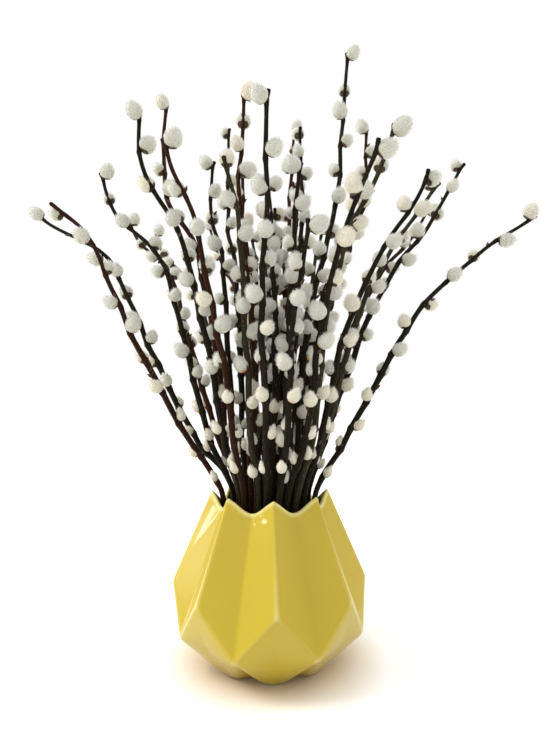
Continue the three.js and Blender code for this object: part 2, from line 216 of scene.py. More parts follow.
@dataclass
class Bunch:
    """The rule that lays out all the branches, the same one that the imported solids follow."""

    count: int = 40
    seed: int = 7
    pleats: int = 8
    first_ridge: float = 3.2 * DEG
    rim: float = 140.0
    rim_radius: float = 51.6
    cut_end: float = 5.8
    stem_foot: float = 2.2
    stem_neck: float = 2.45
    stem_tip: float = 1.0
    stem_step: float = 34.0
    reach_right: Profile = Profile((
        (0, 28), (60, 30), (100, 35), (125, 40.5), (143, 44.4), (184, 67), (247, 103),
        (301, 136), (352, 187), (388, 233), (440, 275), (560, 330)))
    reach_left: Profile = Profile((
        (0, 28), (60, 30), (100, 35), (125, 40.5), (143, 44.4), (184, 72), (232, 103),
        (268, 127), (309, 152), (359, 188), (394, 256), (440, 280), (560, 310)))
    neck_height: float = 137.0
    neck_reach: float = 40.0
    neck_pinch: float = 0.165
    neck_least: float = 0.13
    neck_spacing: float = 0.255
    spreading_rounds: int = 200
    spreading_push: float = 0.25
    front_shortfall: float = 0.32
    back_shortfall: float = 0.14
    freeing_height: float = 110.0
    hollow: Profile = Profile(((0, 7), (150, 7), (300, 3), (420, 0), (560, 0)))
    crowding: Profile = Profile((
        (0, 0.5), (140, 0.5), (190, 0.7), (235, 0.85), (300, 0.95), (400, 1), (560, 1)))
    twist: Profile = Profile((
        (0, -20 * DEG), (140, 0), (300, 9 * DEG), (450, 14 * DEG), (560, 15 * DEG)))
    slide: Profile = Profile(((0, 0), (140, 0), (300, 0.09), (420, 0.13), (560, 0.13)))
    slide_across_depth: float = 3.1
    slide_across_width: float = 2.7
    slide_phase_x: float = 0.7
    slide_phase_y: float = 2.1
    wander: Profile = Profile(((0, 0), (110, 0.2), (200, 1.2), (400, 4.5), (560, 6)))
    wander_turn: float = 2.3
    shortest_wave: float = 38.0
    wave_spread: float = 30.0
    least_share: float = 0.02
    leading_tips: tuple[Point, ...] = (
        (222, 0, 388), (196, 15, 446), (166, 60, 421), (126, -55, 397), (94, -95, 420),
        (72, -130, 385), (93, 60, 496), (61, 10, 533), (11, -140, 418), (-26, -35, 482),
        (-49, 70, 500), (-34, -90, 394), (-84, 30, 449), (-94, -20, 482), (-99, -70, 440),
        (-161, 5, 429), (-174, -45, 372), (-223, 20, 397), (160, -10, 405), (45, -180, 342),
        (32, 90, 515), (44, 20, 480))
    fill_middle: float = 396.0
    fill_rise: float = 0.24
    fill_spread: float = 46.0
    fill_tries: int = 90
    fill_least: float = 0.02
    fill_range: float = 0.8
    probe_wave: float = 50.0
    nearest: float = 1e-6
    catkin_length: float = 14.3
    catkin_width: float = 11.6
    lower_length: float = 11.2
    lower_width: float = 6.6
    first_catkin: float = 3.0
    spacing: float = 26.0
    lower_spacing: float = 29.0
    least_step: float = 0.8
    step_spread: float = 0.4
    stem_probe: float = 2.0
    lowest_catkin: float = 147.0
    full_size_height: float = 285.0
    turn: float = 137.5 * DEG
    lean: float = 40 * DEG
    lower_lean: float = 17 * DEG
    sunk: float = 0.6
    gap: float = 0.7
    retries: int = 7
    retry_turn: float = 0.9
    retry_shrink: float = 0.05
    smallest: float = 0.88
    size_spread: float = 0.2
    ball_shares: Pairs = ((0.42, 1.0), (0.68, 0.86))
    rim_margin: float = 3.0
    branches: list[Branch] = field(default_factory=list)

    def build(self) -> None:
        """Lays out every branch, then its catkins."""
        stream = RandomStream(self.seed)
        self._plant_all(stream)
        for branch in self.branches:
            steps = math.ceil((branch.top - self.cut_end) / self.stem_step)
            for i in range(steps + 1):
                height = self.cut_end + (branch.top - self.cut_end) * i / steps
                branch.joints.append(self.point(branch, height))
            foot = self.point(branch, self.rim)
            tip = self.point(branch, branch.top)
            branch.upright = (tip[2] - foot[2]) / math.dist(tip, foot)
        for branch in self.branches:
            self._grow_catkins(branch, stream)

    def reach(self, angle: float, height: float) -> float:
        """The farthest that a branch may stand from the axis.

        Args:
            angle: The direction, from the front towards the right.
            height: The height, in millimetres.

        Returns:
            The distance, in millimetres.
        """
        rightness = 0.5 + 0.5 * math.sin(angle)
        wide = self.reach_right.at(height) * rightness + self.reach_left.at(height) * (1 - rightness)
        shortfall = self.front_shortfall if math.cos(angle) > 0 else self.back_shortfall
        shallow = 1 - shortfall * abs(math.cos(angle))
        freed = clamp((height - self.rim) / self.freeing_height)
        neck = max(0.0, 1 - abs(height - self.neck_height) / self.neck_reach)
        valley = 0.5 - 0.5 * math.cos(self.pleats * (angle - self.first_ridge))
        pinched = 1 - self.neck_pinch * valley * min(1.0, neck * 2)
        return wide * pinched * (1 + (shallow - 1) * freed)

    def point(self, branch: Branch, height: float) -> Point:
        """Where the middle of a branch is at a height.

        Args:
            branch: The branch.
            height: The height, in millimetres.

        Returns:
            The point there.
        """
        slide = self.slide.at(height)
        x = branch.x + slide * math.sin(self.slide_across_depth * branch.y + self.slide_phase_x)
        y = branch.y + slide * math.sin(self.slide_across_width * x + self.slide_phase_y)
        place = math.hypot(x, y)
        angle = math.atan2(x, -y) + self.twist.at(height)
        hollow = self.hollow.at(height)
        radius = hollow + (self.reach(angle, height) - hollow) * place ** self.crowding.at(height)
        wander = self.wander.at(height)
        sway = height / branch.wave
        x = radius * math.sin(angle) + wander * math.sin(sway + branch.phase)
        y = -radius * math.cos(angle) + wander * math.cos(sway + self.wander_turn * branch.phase)
        return (x, y, height)

    def stem_radius(self, branch: Branch, height: float) -> float:
        """Half a stem's thickness: thickest at the neck, tapering to the tip.

        Args:
            branch: The branch.
            height: The height, in millimetres.

        Returns:
            The half thickness, in millimetres.
        """
        if height < self.rim:
            share = (height - self.cut_end) / (self.rim - self.cut_end)
            return self.stem_foot + (self.stem_neck - self.stem_foot) * share
        share = (height - self.rim) / (branch.top - self.rim)
        return self.stem_tip + (self.stem_neck - self.stem_tip) * max(1 - share, 0.0)

    def growth(self, height: float) -> float:
        """How far a catkin at a height has grown, from 0 near the vase to 1 high up."""
        return clamp((height - self.lowest_catkin) / (self.full_size_height - self.lowest_catkin))

    def _place_through(self, x: float, y: float, height: float) -> tuple[float, float]:
        """The place in the bunch whose branch passes through a point, before it wanders.

        Args:
            x: The point's distance to the right of the axis.
            y: The point's distance behind the axis.
            height: The point's height.

        Returns:
            The place's two shares.
        """
        turned = math.atan2(x, -y)
        hollow = self.hollow.at(height)
        share = (math.hypot(x, y) - hollow) / (self.reach(turned, height) - hollow)
        place = clamp(share, self.least_share, 1.0) ** (1 / self.crowding.at(height))
        angle = turned - self.twist.at(height)
        slide = self.slide.at(height)
        slid_x = place * math.sin(angle)
        slid_y = -place * math.cos(angle)
        place_y = slid_y - slide * math.sin(self.slide_across_width * slid_x + self.slide_phase_y)
        place_x = slid_x - slide * math.sin(self.slide_across_depth * place_y + self.slide_phase_x)
        return place_x, place_y

    def _plant_all(self, stream: RandomStream) -> None:
        """Gives every branch its place: the leading ones by their tips, the rest in the gaps.

        Args:
            stream: The bunch's random numbers.
        """
        spots: list[tuple[float, float]] = []

        def plant(x: float, y: float, top: float) -> None:
            """Adds one branch, and its spot at the neck.

            Args:
                x: The place's share to the right.
                y: The place's share to the back.
                top: The height of the branch's tip.
            """
            phase = 2 * math.pi * stream.draw()
            wave = self.shortest_wave + self.wave_spread * stream.draw()
            self.branches.append(Branch(x, y, top, phase, wave))
            root = math.sqrt(max(math.hypot(x, y), self.nearest))
            spots.append((x / root, y / root))

        for x, y, top in self.leading_tips:
            plant(*self._place_through(x, y, top), top)
        while len(self.branches) < self.count:
            best, best_room = (0.0, 0.0), -1.0
            for _ in range(self.fill_tries):
                angle = 2 * math.pi * stream.draw()
                spot = math.sqrt(self.fill_least + self.fill_range * stream.draw())
                x, y = spot * math.cos(angle), spot * math.sin(angle)
                room = min(math.hypot(a - x, b - y) for a, b in spots)
                if room > best_room:
                    best, best_room = (x * spot, y * spot), room
            probe = Branch(*best, self.fill_middle, 0.0, self.probe_wave)
            depth = self.point(probe, self.fill_middle)[1]
            spread = self.fill_spread * (2 * stream.draw() - 1)
            plant(*best, self.fill_middle + self.fill_rise * depth + spread)
        self._spread(spots)
        for branch, (x, y) in zip(self.branches, spots):
            share = math.hypot(x, y)
            branch.x, branch.y = x * share, y * share

    def _spread(self, spots: list[tuple[float, float]]) -> None:
        """Moves the spots at the neck apart, a little at a time.

        Args:
            spots: Every branch's spot, which is changed in place.
        """

        def keep(x: float, y: float) -> tuple[float, float]:
            """A spot kept inside the neck and off its middle.

            Args:
                x: The spot's share to the right.
                y: The spot's share to the back.

            Returns:
                The kept spot.
            """
            far = math.hypot(x, y)
            kept = clamp(far, self.neck_least, 1.0) / far
            return x * kept, y * kept

        for _ in range(self.spreading_rounds):
            for i in range(len(spots)):
                for j in range(i + 1, len(spots)):
                    x = spots[j][0] - spots[i][0]
                    y = spots[j][1] - spots[i][1]
                    apart = math.hypot(x, y)
                    if apart < self.neck_spacing:
                        push = self.spreading_push * (self.neck_spacing - apart) / apart
                        spots[i] = keep(spots[i][0] - push * x, spots[i][1] - push * y)
                        spots[j] = keep(spots[j][0] + push * x, spots[j][1] + push * y)

    def _on_stem(self, branch: Branch, height: float) -> Point:
        """Where the middle of a branch is at a height, on its straight lengths.

        Args:
            branch: The branch.
            height: The height, in millimetres.

        Returns:
            The point there.
        """
        last = len(branch.joints) - 1
        share = (height - self.cut_end) / (branch.top - self.cut_end) * last
        i = min(max(math.floor(share), 0), last - 1)
        return between(branch.joints[i], branch.joints[i + 1], share - i)

    def catkin_at(self, branch: Branch, height: float, side: float, scale: float) -> Catkin:
        """A catkin on a branch.

        Args:
            branch: The branch.
            height: The height of the catkin's foot.
            side: The side of the branch that it grows on, as an angle.
            scale: Its size, as a share of the size at that height.

        Returns:
            The catkin.
        """
        grown = self.growth(height)
        over = self._on_stem(branch, height + self.stem_probe)
        under = self._on_stem(branch, height - self.stem_probe)
        stem = unit(minus(over, under))
        flat = (math.cos(side), math.sin(side), 0.0)
        across = unit(plus(flat, stem, -dot(flat, stem)))
        lean = mix(self.lower_lean, self.lean, grown)
        along = (stem[0] * math.cos(lean), stem[1] * math.cos(lean), stem[2] * math.cos(lean))
        axis = plus(along, across, math.sin(lean))
        length = mix(self.lower_length, self.catkin_length, grown) * scale
        radius = mix(self.lower_width, self.catkin_width, grown) * scale / 2
        sunk = self.sunk * self.stem_radius(branch, height)
        base = plus(self._on_stem(branch, height), across, sunk)
        balls = [(plus(base, axis, s * length), radius * size) for s, size in self.ball_shares]
        return Catkin(base, axis, across, length, radius, height, balls)

    def _is_clear(self, point: Point, radius: float, owner: Branch) -> bool:
        """Whether a ball is clear of every other branch, the catkins so far and the vase.

        Args:
            point: The ball's centre.
            radius: The ball's radius.
            owner: The branch that the ball belongs to.

        Returns:
            True if it is clear.
        """
        for other in self.branches:
            if other is not owner and other.top > point[2] - radius:
                height = min(point[2], other.top)
                stem = self._on_stem(other, height)
                flat = math.hypot(point[0] - stem[0], point[1] - stem[1])
                apart = math.hypot(flat * other.upright, max(point[2] - other.top, 0.0))
                if apart < radius + self.stem_radius(other, height) + self.gap:
                    return False
            for catkin in other.catkins:
                for centre, size in catkin.balls:
                    if math.dist(centre, point) < size + radius + self.gap:
                        return False
        wall = self.rim_radius + self.rim_margin + radius
        return point[2] - radius > self.rim or math.hypot(point[0], point[1]) > wall

    def _grow_catkins(self, branch: Branch, stream: RandomStream) -> None:
        """Grows a branch's catkins, from the tip down. One that finds no room is left out.

        Args:
            branch: The branch.
            stream: The bunch's random numbers.
        """
        height = branch.top - self.first_catkin
        side = 2 * math.pi * stream.draw()
        while height > self.lowest_catkin:
            size = self.smallest + self.size_spread * stream.draw()
            for attempt in range(self.retries):
                turned = side + attempt * self.retry_turn * (1 if attempt % 2 == 0 else -1)
                shrunk = size * (1 - self.retry_shrink * attempt)
                catkin = self.catkin_at(branch, height, turned, shrunk)
                if all(self._is_clear(centre, radius, branch) for centre, radius in catkin.balls):
                    branch.catkins.append(catkin)
                    break
            step = mix(self.lower_spacing, self.spacing, self.growth(height))
            uneven = self.least_step + self.step_spread * stream.draw()
            height -= step * uneven * branch.upright
            side += self.turn


# ---------- node graphs ----------


@dataclass(frozen=True)
class Wire:
    """A socket that can be used in expressions: each operator adds its Math node."""

    graph: "Graph"
    socket: bpy.types.NodeSocket

    def math(self, operation: str, first: Any, second: Any = 0.0, clamped: bool = False) -> "Wire":
        """One Math node.

        Args:
            operation: The node's operation.
            first: The first number or wire.
            second: The second number or wire.
            clamped: Whether the result is kept between 0 and 1.

        Returns:
            The node's result.
        """
        settings = {"operation": operation, "use_clamp": clamped}
        node = self.graph.node("ShaderNodeMath", settings, {0: first, 1: second})
        return Wire(self.graph, node.outputs[0])

    def __add__(self, other: Any) -> "Wire":
        """This plus another."""
        return self.math("ADD", self, other)

    def __radd__(self, other: Any) -> "Wire":
        """Another plus this."""
        return self.math("ADD", other, self)

    def __sub__(self, other: Any) -> "Wire":
        """This less another."""
        return self.math("SUBTRACT", self, other)

    def __rsub__(self, other: Any) -> "Wire":
        """Another less this."""
        return self.math("SUBTRACT", other, self)

    def __mul__(self, other: Any) -> "Wire":
        """This times another."""
        return self.math("MULTIPLY", self, other)

    def __rmul__(self, other: Any) -> "Wire":
        """Another times this."""
        return self.math("MULTIPLY", other, self)

    def __truediv__(self, other: Any) -> "Wire":
        """This divided by another."""
        return self.math("DIVIDE", self, other)

    def clamped(self) -> "Wire":
        """This kept between 0 and 1."""
        return self.math("ADD", self, 0.0, clamped=True)

    def at_least(self, low: float) -> "Wire":
        """This, or a least value where it is under it."""
        return self.math("MAXIMUM", self, low)

    def above(self, threshold: float) -> "Wire":
        """1 where this is over a threshold, else 0."""
        return self.math("GREATER_THAN", self, threshold)


class Graph:
    """Adds nodes to a shader tree or a geometry tree."""

    def __init__(self, tree: bpy.types.NodeTree) -> None:
        """Starts on the tree that the nodes go into."""
        self.tree = tree

    def node(self, kind: str, settings: dict[str, Any] | None = None,
             sockets: dict[str | int, Any] | None = None) -> bpy.types.Node:
        """Adds any node: its settings first, then its sockets.

        Args:
            kind: The node's type.
            settings: Values of the node's own options.
            sockets: Numbers, wires or sockets for its inputs, by name or by index.

        Returns:
            The node.
        """
        made = self.tree.nodes.new(kind)
        for name, value in (settings or {}).items():
            setattr(made, name, value)
        for key, value in (sockets or {}).items():
            self._feed(self._input(made, key), value)
        return made

    def wire(self, kind: str, settings: dict[str, Any] | None = None,
             sockets: dict[str | int, Any] | None = None, output: str | int = 0) -> Wire:
        """Adds any node and returns one of its outputs as a wire."""
        return Wire(self, self.node(kind, settings, sockets).outputs[output])

    def _input(self, node: bpy.types.Node, key: str | int) -> bpy.types.NodeSocket:
        """Finds a node's input.

        Args:
            node: The node.
            key: The input's index, or the name of the one in use.

        Returns:
            The input.
        """
        if isinstance(key, int):
            return node.inputs[key]
        return next(s for s in node.inputs if s.name == key and s.enabled)

    def _feed(self, socket: bpy.types.NodeSocket, value: Any) -> None:
        """Links a socket, or sets its number.

        Args:
            socket: The socket.
            value: A wire, a socket or a number.
        """
        source = value.socket if isinstance(value, Wire) else value
        if isinstance(source, bpy.types.NodeSocket):
            self.tree.links.new(source, socket)
        else:
            socket.default_value = source

    def attribute(self, name: str) -> Wire:
        """A number that the mesh carries at each point."""
        settings = {"attribute_name": name, "attribute_type": "GEOMETRY"}
        return self.wire("ShaderNodeAttribute", settings, output="Fac")

    def noise(self, scale: float, stretch: Point = (1, 1, 1), detail: float = 3.0) -> Wire:
        """Soft noise fixed to the piece.

        Args:
            scale: How many grains go to a metre.
            stretch: How much closer they lie along each axis.
            detail: How many finer layers there are.

        Returns:
            The noise, from 0 to 1.
        """
        place = self.wire("ShaderNodeTexCoord", output="Object")
        stretched = self.wire("ShaderNodeMapping", sockets={"Vector": place, "Scale": stretch})
        return self.wire("ShaderNodeTexNoise", sockets={
            "Vector": stretched, "Scale": scale, "Detail": detail})

    def tint(self, share: Any, first: Any, second: Any) -> Wire:
        """A colour between two others.

        Args:
            share: How much of the second, as a number or a wire.
            first: The colour at 0.
            second: The colour at 1.

        Returns:
            The mixed colour.
        """
        ends = [(*c, 1) if isinstance(c, tuple) else c for c in (first, second)]
        node = self.node("ShaderNodeMix", {"data_type": "RGBA"}, {0: share, 6: ends[0], 7: ends[1]})
        return Wire(self, node.outputs[2])


class Recipe:
    """A Geometry Nodes tree with named inputs, run once on a plain mesh."""

    def __init__(self, name: str, inputs: dict[str, tuple[str, Any]]) -> None:
        """Makes the tree's sockets.

        Args:
            name: The tree's name.
            inputs: Each named input's socket type and default value.
        """
        self.tree = bpy.data.node_groups.new(name, "GeometryNodeTree")
        self.graph = Graph(self.tree)
        face = self.tree.interface
        face.new_socket("Geometry", in_out="INPUT", socket_type="NodeSocketGeometry")
        self.keys: dict[str, str] = {}
        for label, (kind, default) in inputs.items():
            socket = face.new_socket(label, in_out="INPUT", socket_type=kind)
            if default is not None:
                socket.default_value = default
            self.keys[label] = socket.identifier
        face.new_socket("Geometry", in_out="OUTPUT", socket_type="NodeSocketGeometry")
        self.given = self.graph.node("NodeGroupInput").outputs

    def field(self, name: str, kind: str = "FLOAT") -> Wire:
        """A value that the points carry, by name."""
        node = self.graph.node("GeometryNodeInputNamedAttribute", {"data_type": kind}, {"Name": name})
        return Wire(self.graph, next(s for s in node.outputs if s.enabled))

    def keep(self, geometry: Any, name: str, value: Any) -> Wire:
        """Stores a number on a geometry's points under a name."""
        return self.graph.wire("GeometryNodeStoreNamedAttribute", {"data_type": "FLOAT"}, {
            "Geometry": geometry, "Name": name, "Value": value})

    def random(self, low: float, high: float, seed: Any) -> Wire:
        """A random number for each point."""
        return self.graph.wire("FunctionNodeRandomValue", {"data_type": "FLOAT"}, {
            2: low, 3: high, "Seed": seed}, output=1)

    def vector(self, operation: str, first: Any, second: Any) -> Wire:
        """One Vector Math node.

        Args:
            operation: The node's operation.
            first: The first vector.
            second: The second vector, or the scale.

        Returns:
            The node's vector.
        """
        second_key = "Scale" if operation == "SCALE" else 1
        return self.graph.wire("ShaderNodeVectorMath", {"operation": operation}, {
            0: first, second_key: second})

    def combine(self, x: Any, y: Any, z: Any) -> Wire:
        """A vector from three numbers."""
        return self.graph.wire("ShaderNodeCombineXYZ", sockets={"X": x, "Y": y, "Z": z})

    def grow(self, points: Any, form: Any, axis: Any, scale: Any, chosen: Any = True) -> Wire:
        """Sets a copy of a form on each chosen point, its Z along an axis, and makes it real.

        Args:
            points: The points.
            form: The geometry that is copied.
            axis: The way that each copy's Z points.
            scale: Each copy's size along its own axes.
            chosen: Which points get a copy.

        Returns:
            The copies.
        """
        turned = self.graph.wire("FunctionNodeAlignRotationToVector", {"axis": "Z"}, {"Vector": axis})
        placed = self.graph.wire("GeometryNodeInstanceOnPoints", sockets={
            "Points": points, "Selection": chosen, "Instance": form, "Rotation": turned,
            "Scale": scale})
        return self.graph.wire("GeometryNodeRealizeInstances", sockets={"Geometry": placed})

    def smooth(self, geometry: Any) -> Wire:
        """A geometry shaded smooth."""
        return self.graph.wire("GeometryNodeSetShadeSmooth", sockets={"Geometry": geometry})

    def finish(self, geometry: Any) -> None:
        """Ends the tree: real geometry in the given material.

        Args:
            geometry: What the tree has made.
        """
        real = self.graph.wire("GeometryNodeRealizeInstances", sockets={"Geometry": geometry})
        dressed = self.graph.wire("GeometryNodeSetMaterial", sockets={
            "Geometry": real, "Material": self.given["Material"]})
        self.graph.node("NodeGroupOutput", sockets={"Geometry": dressed})

    def make(self, name: str, source: bpy.types.Mesh, values: dict[str, Any]) -> bpy.types.Object:
        """Runs the tree on a mesh.

        Args:
            name: The finished piece's name.
            source: The mesh that the tree starts from.
            values: Values for the named inputs.

        Returns:
            The piece, as a plain mesh with no modifier.
        """
        piece = bpy.data.objects.new(name, source)
        bpy.context.scene.collection.objects.link(piece)
        modifier = piece.modifiers.new("recipe", "NODES")
        modifier.node_group = self.tree
        for label, value in values.items():
            modifier[self.keys[label]] = value
        depsgraph = bpy.context.evaluated_depsgraph_get()
        made = bpy.data.meshes.new_from_object(piece.evaluated_get(depsgraph), depsgraph=depsgraph)
        made.name = name
        piece.modifiers.clear()
        piece.data = made
        return piece


def point_mesh(name: str, points: Sequence[Point], edges: Iterable[tuple[int, int]] = (),
               numbers: dict[str, Sequence[float]] | None = None,
               vectors: dict[str, Sequence[Point]] | None = None) -> bpy.types.Mesh:
    """A mesh of loose points, or a line of them, that carries named values.

    Args:
        name: The mesh's name.
        points: The points, in millimetres.
        edges: Pairs of points that are joined.
        numbers: Named numbers, one for each point.
        vectors: Named vectors, one for each point.

    Returns:
        The mesh, in metres.
    """
    mesh = bpy.data.meshes.new(name)
    mesh.from_pydata([(x * MM, y * MM, z * MM) for x, y, z in points], list(edges), [])
    for label, values in (numbers or {}).items():
        layer = mesh.attributes.new(label, "FLOAT", "POINT")
        layer.data.foreach_set("value", np.array(values, np.float32))
    for label, values in (vectors or {}).items():
        layer = mesh.attributes.new(label, "FLOAT_VECTOR", "POINT")
        layer.data.foreach_set("vector", np.array(values, np.float32).ravel())
    return mesh


# ---------- finishes ----------


def principled(name: str, fixed: dict[str, Any]) -> tuple[bpy.types.Material, Graph, bpy.types.Node]:
    """A new material with a Principled shader.

    Args:
        name: The material's name.
        fixed: Numbers and colours set on the shader's own sockets.

    Returns:
        The material, its graph and its shader.
    """
    material = bpy.data.materials.new(name)
    material.use_nodes = True
    material.node_tree.nodes.clear()
    graph = Graph(material.node_tree)
    shader = graph.node("ShaderNodeBsdfPrincipled", sockets=fixed)
    graph.node("ShaderNodeOutputMaterial", sockets={"Surface": shader.outputs[0]})
    return material, graph, shader


def link_bump(graph: Graph, shader: bpy.types.Node, height: Wire, depth: float, strength: float) -> None:
    """Gives a shader a fine relief.

    Args:
        graph: The material's graph.
        shader: The shader whose Normal it feeds.
        height: The relief's height, from 0 to 1.
        depth: How deep the relief is, in metres.
        strength: How strongly it shows.
    """
    normal = graph.wire("ShaderNodeBump", sockets={
        "Strength": strength, "Distance": depth, "Height": height})
    graph.tree.links.new(normal.socket, shader.inputs["Normal"])


@dataclass(frozen=True)
class Glaze:
    """Glossy yellow glaze over a cream body, thin and pale on the folds and the rim."""

    body: Colour = (0.41, 0.305, 0.013)
    pooled: Colour = (0.41, 0.275, 0.005)
    thin: Colour = (0.54, 0.46, 0.15)
    clay: Colour = (0.55, 0.49, 0.40)
    roughness: float = 0.18
    patchy_roughness: float = 0.06
    clay_roughness: float = 0.6
    cloud_scale: float = 26
    patch_scale: float = 9
    plain_thinning: float = 0.75
    cloudy_thinning: float = 0.5
    pooling: float = 0.8
    patchy_pooling: float = 0.5
    ripple_scale: float = 55
    ripple_depth: float = 0.4 * MM
    ripple_strength: float = 0.16

    def material(self) -> bpy.types.Material:
        """The glaze as a material.

        Returns:
            The material.
        """
        material, graph, shader = principled("yellow_glaze", {
            "IOR": 1.4, "Coat Weight": 0.35, "Coat Roughness": 0.03, "Coat IOR": 1.45})
        cloud = graph.noise(self.cloud_scale, detail=4)
        patch = graph.noise(self.patch_scale, detail=2)
        thinning = self.plain_thinning + self.cloudy_thinning * cloud
        fold = (graph.attribute("fold") * thinning).clamped()
        patchy = (patch - 0.5) * self.patchy_pooling
        pool = (graph.attribute("pool") * self.pooling + patchy).clamped()
        bare = graph.attribute("bare_clay")
        glazed = graph.tint(fold, graph.tint(pool, self.body, self.pooled), self.thin)
        colour = graph.tint(bare, glazed, self.clay)
        graph.tree.links.new(colour.socket, shader.inputs["Base Color"])
        rough = self.roughness + self.patchy_roughness * patch + self.clay_roughness * bare
        graph.tree.links.new(rough.socket, shader.inputs["Roughness"])
        ripple = graph.noise(self.ripple_scale, detail=2)
        link_bump(graph, shader, ripple, self.ripple_depth, self.ripple_strength)
        return material


@dataclass(frozen=True)
class BarkFinish:
    """Satin willow bark with long streaks, pale breathing spots and a rough grain."""

    name: str
    shade: Colour
    streak: Colour
    spot: Colour
    roughness: float = 0.5
    uneven_roughness: float = 0.25
    streak_scale: float = 420
    streak_stretch: Point = (1, 1, 0.12)
    streak_tone: float = 0.9
    patch_scale: float = 38
    patch_stretch: Point = (1, 1, 0.5)
    patch_tone: float = 0.9
    dark_level: float = 0.5
    spot_scale: float = 900
    spot_stretch: Point = (1, 1, 0.45)
    spot_level: float = 0.69
    spot_share: float = 0.6
    streak_relief: float = 0.6
    spot_relief: float = 0.5
    relief_depth: float = 0.35 * MM
    relief_strength: float = 0.7

    def material(self) -> bpy.types.Material:
        """The bark as a material.

        Returns:
            The material.
        """
        material, graph, shader = principled(self.name, {"Specular IOR Level": 0.04})
        streak = graph.noise(self.streak_scale, self.streak_stretch, detail=4)
        patch = graph.noise(self.patch_scale, self.patch_stretch, detail=3)
        spots = graph.noise(self.spot_scale, self.spot_stretch, detail=1).above(self.spot_level)
        tone = (streak * self.streak_tone + patch * self.patch_tone - self.dark_level).clamped()
        bark = graph.tint(tone, self.shade, self.streak)
        colour = graph.tint(spots * self.spot_share, bark, self.spot)
        graph.tree.links.new(colour.socket, shader.inputs["Base Color"])
        rough = self.roughness + self.uneven_roughness * (streak - 0.5)
        graph.tree.links.new(rough.socket, shader.inputs["Roughness"])
        relief = streak * self.streak_relief + spots * self.spot_relief
        link_bump(graph, shader, relief, self.relief_depth, self.relief_strength)
        return material


@dataclass(frozen=True)
class DownFinish:
    """Silver-white down over a grey-olive bud, creamier where the catkin is young, with painted shade at
    the bud's foot and at the hair roots and a painted highlight at the hair tips.
    """

    bud: Colour = (0.53, 0.525, 0.46)
    # painted shade: the bud's colour at its foot, darker where it sits on the stem
    shaded_bud_foot: Colour = (0.32, 0.315, 0.22)
    # hairs from root to tip: the down's own silver colour, darkened at the roots as painted shade and
    # paled at the tips as a painted highlight
    hair_root: Colour = (0.58, 0.575, 0.51)
    hair_tip_with_highlight: Colour = (0.75, 0.75, 0.71)
    cream: Colour = (0.84, 0.74, 0.56)
    cream_share: float = 0.4
    patch_scale: float = 160
    patch_tone: float = 0.8
    foot_shade_fade: float = 1.6
    hair_edge: float = 6

    def material(self) -> bpy.types.Material:
        """The down as a material.

        Returns:
            The material.
        """
        material, graph, shader = principled("silver_down", {
            "Roughness": 0.85, "Specular IOR Level": 0.2, "Sheen Weight": 1.0,
            "Sheen Roughness": 0.35, "Sheen Tint": (1.0, 1.0, 0.96, 1)})
        patch = graph.noise(self.patch_scale, detail=3)
        along = graph.attribute("along")
        hair = graph.attribute("hair")
        # painted shade: the bud darkens towards its foot, broken by random patches
        rise = (along * self.foot_shade_fade + (patch - 0.5) * self.patch_tone).clamped()
        bud = graph.tint(rise, self.shaded_bud_foot, self.bud)
        # painted shade at the hair roots and a painted highlight at the hair tips
        down = graph.tint(hair, self.hair_root, self.hair_tip_with_highlight)
        colour = graph.tint((hair * self.hair_edge).clamped(), bud, down)
        warm = graph.tint(graph.attribute("warmth") * self.cream_share, colour, self.cream)
        graph.tree.links.new(warm.socket, shader.inputs["Base Color"])
        return material


@dataclass(frozen=True)
class ScaleFinish:
    """Thin shiny bud scales, dark brown, a few of them still fresh in red and yellow."""

    dark: Colour = (0.014, 0.008, 0.005)
    tan: Colour = (0.07, 0.034, 0.016)
    fresh_red: Colour = (0.50, 0.045, 0.018)
    fresh_yellow: Colour = (0.72, 0.38, 0.03)
    roughness: float = 0.38
    grainy_roughness: float = 0.2
    grain_scale: float = 520
    grain_stretch: Point = (1, 1, 0.35)
    grain_tone: float = 0.7
    patch_scale: float = 140
    patch_tone: float = 0.9
    dark_level: float = 0.35
    yellow_level: float = 0.5
    relief_depth: float = 0.2 * MM
    relief_strength: float = 0.5

    def material(self) -> bpy.types.Material:
        """The scales as a material.

        Returns:
            The material.
        """
        material, graph, shader = principled("bud_scale_skin", {
            "Specular IOR Level": 0.25, "Coat Weight": 0.1, "Coat Roughness": 0.25})
        grain = graph.noise(self.grain_scale, self.grain_stretch, detail=3)
        patch = graph.noise(self.patch_scale, detail=2)
        tone = (grain * self.grain_tone + patch * self.patch_tone - self.dark_level).clamped()
        brown = graph.tint(tone, self.dark, self.tan)
        bright = graph.tint(patch.above(self.yellow_level), self.fresh_red, self.fresh_yellow)
        colour = graph.tint(graph.attribute("fresh"), brown, bright)
        graph.tree.links.new(colour.socket, shader.inputs["Base Color"])
        rough = self.roughness + self.grainy_roughness * grain
        graph.tree.links.new(rough.socket, shader.inputs["Roughness"])
        link_bump(graph, shader, grain, self.relief_depth, self.relief_strength)
        return material


BARKS = {
    Bark.DARK: BarkFinish("dark_willow_bark", (0.005, 0.0045, 0.002), (0.018, 0.0145, 0.007),
                          (0.08, 0.065, 0.05)),
    Bark.RED: BarkFinish("red_willow_bark", (0.010, 0.004, 0.002), (0.042, 0.015, 0.007),
                         (0.12, 0.08, 0.05)),
    Bark.OLIVE: BarkFinish("olive_willow_bark", (0.011, 0.010, 0.005), (0.048, 0.043, 0.019),
                           (0.14, 0.12, 0.07)),
}


def finish_piece(piece: bpy.types.Object, slot: str, *nodes: str) -> None:
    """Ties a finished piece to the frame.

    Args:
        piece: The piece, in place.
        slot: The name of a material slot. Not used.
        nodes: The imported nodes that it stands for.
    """
    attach(piece, BODY)
    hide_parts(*nodes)
    log.info("%s: %d faces", piece.name, len(piece.data.polygons))


# ---------- the vase ----------


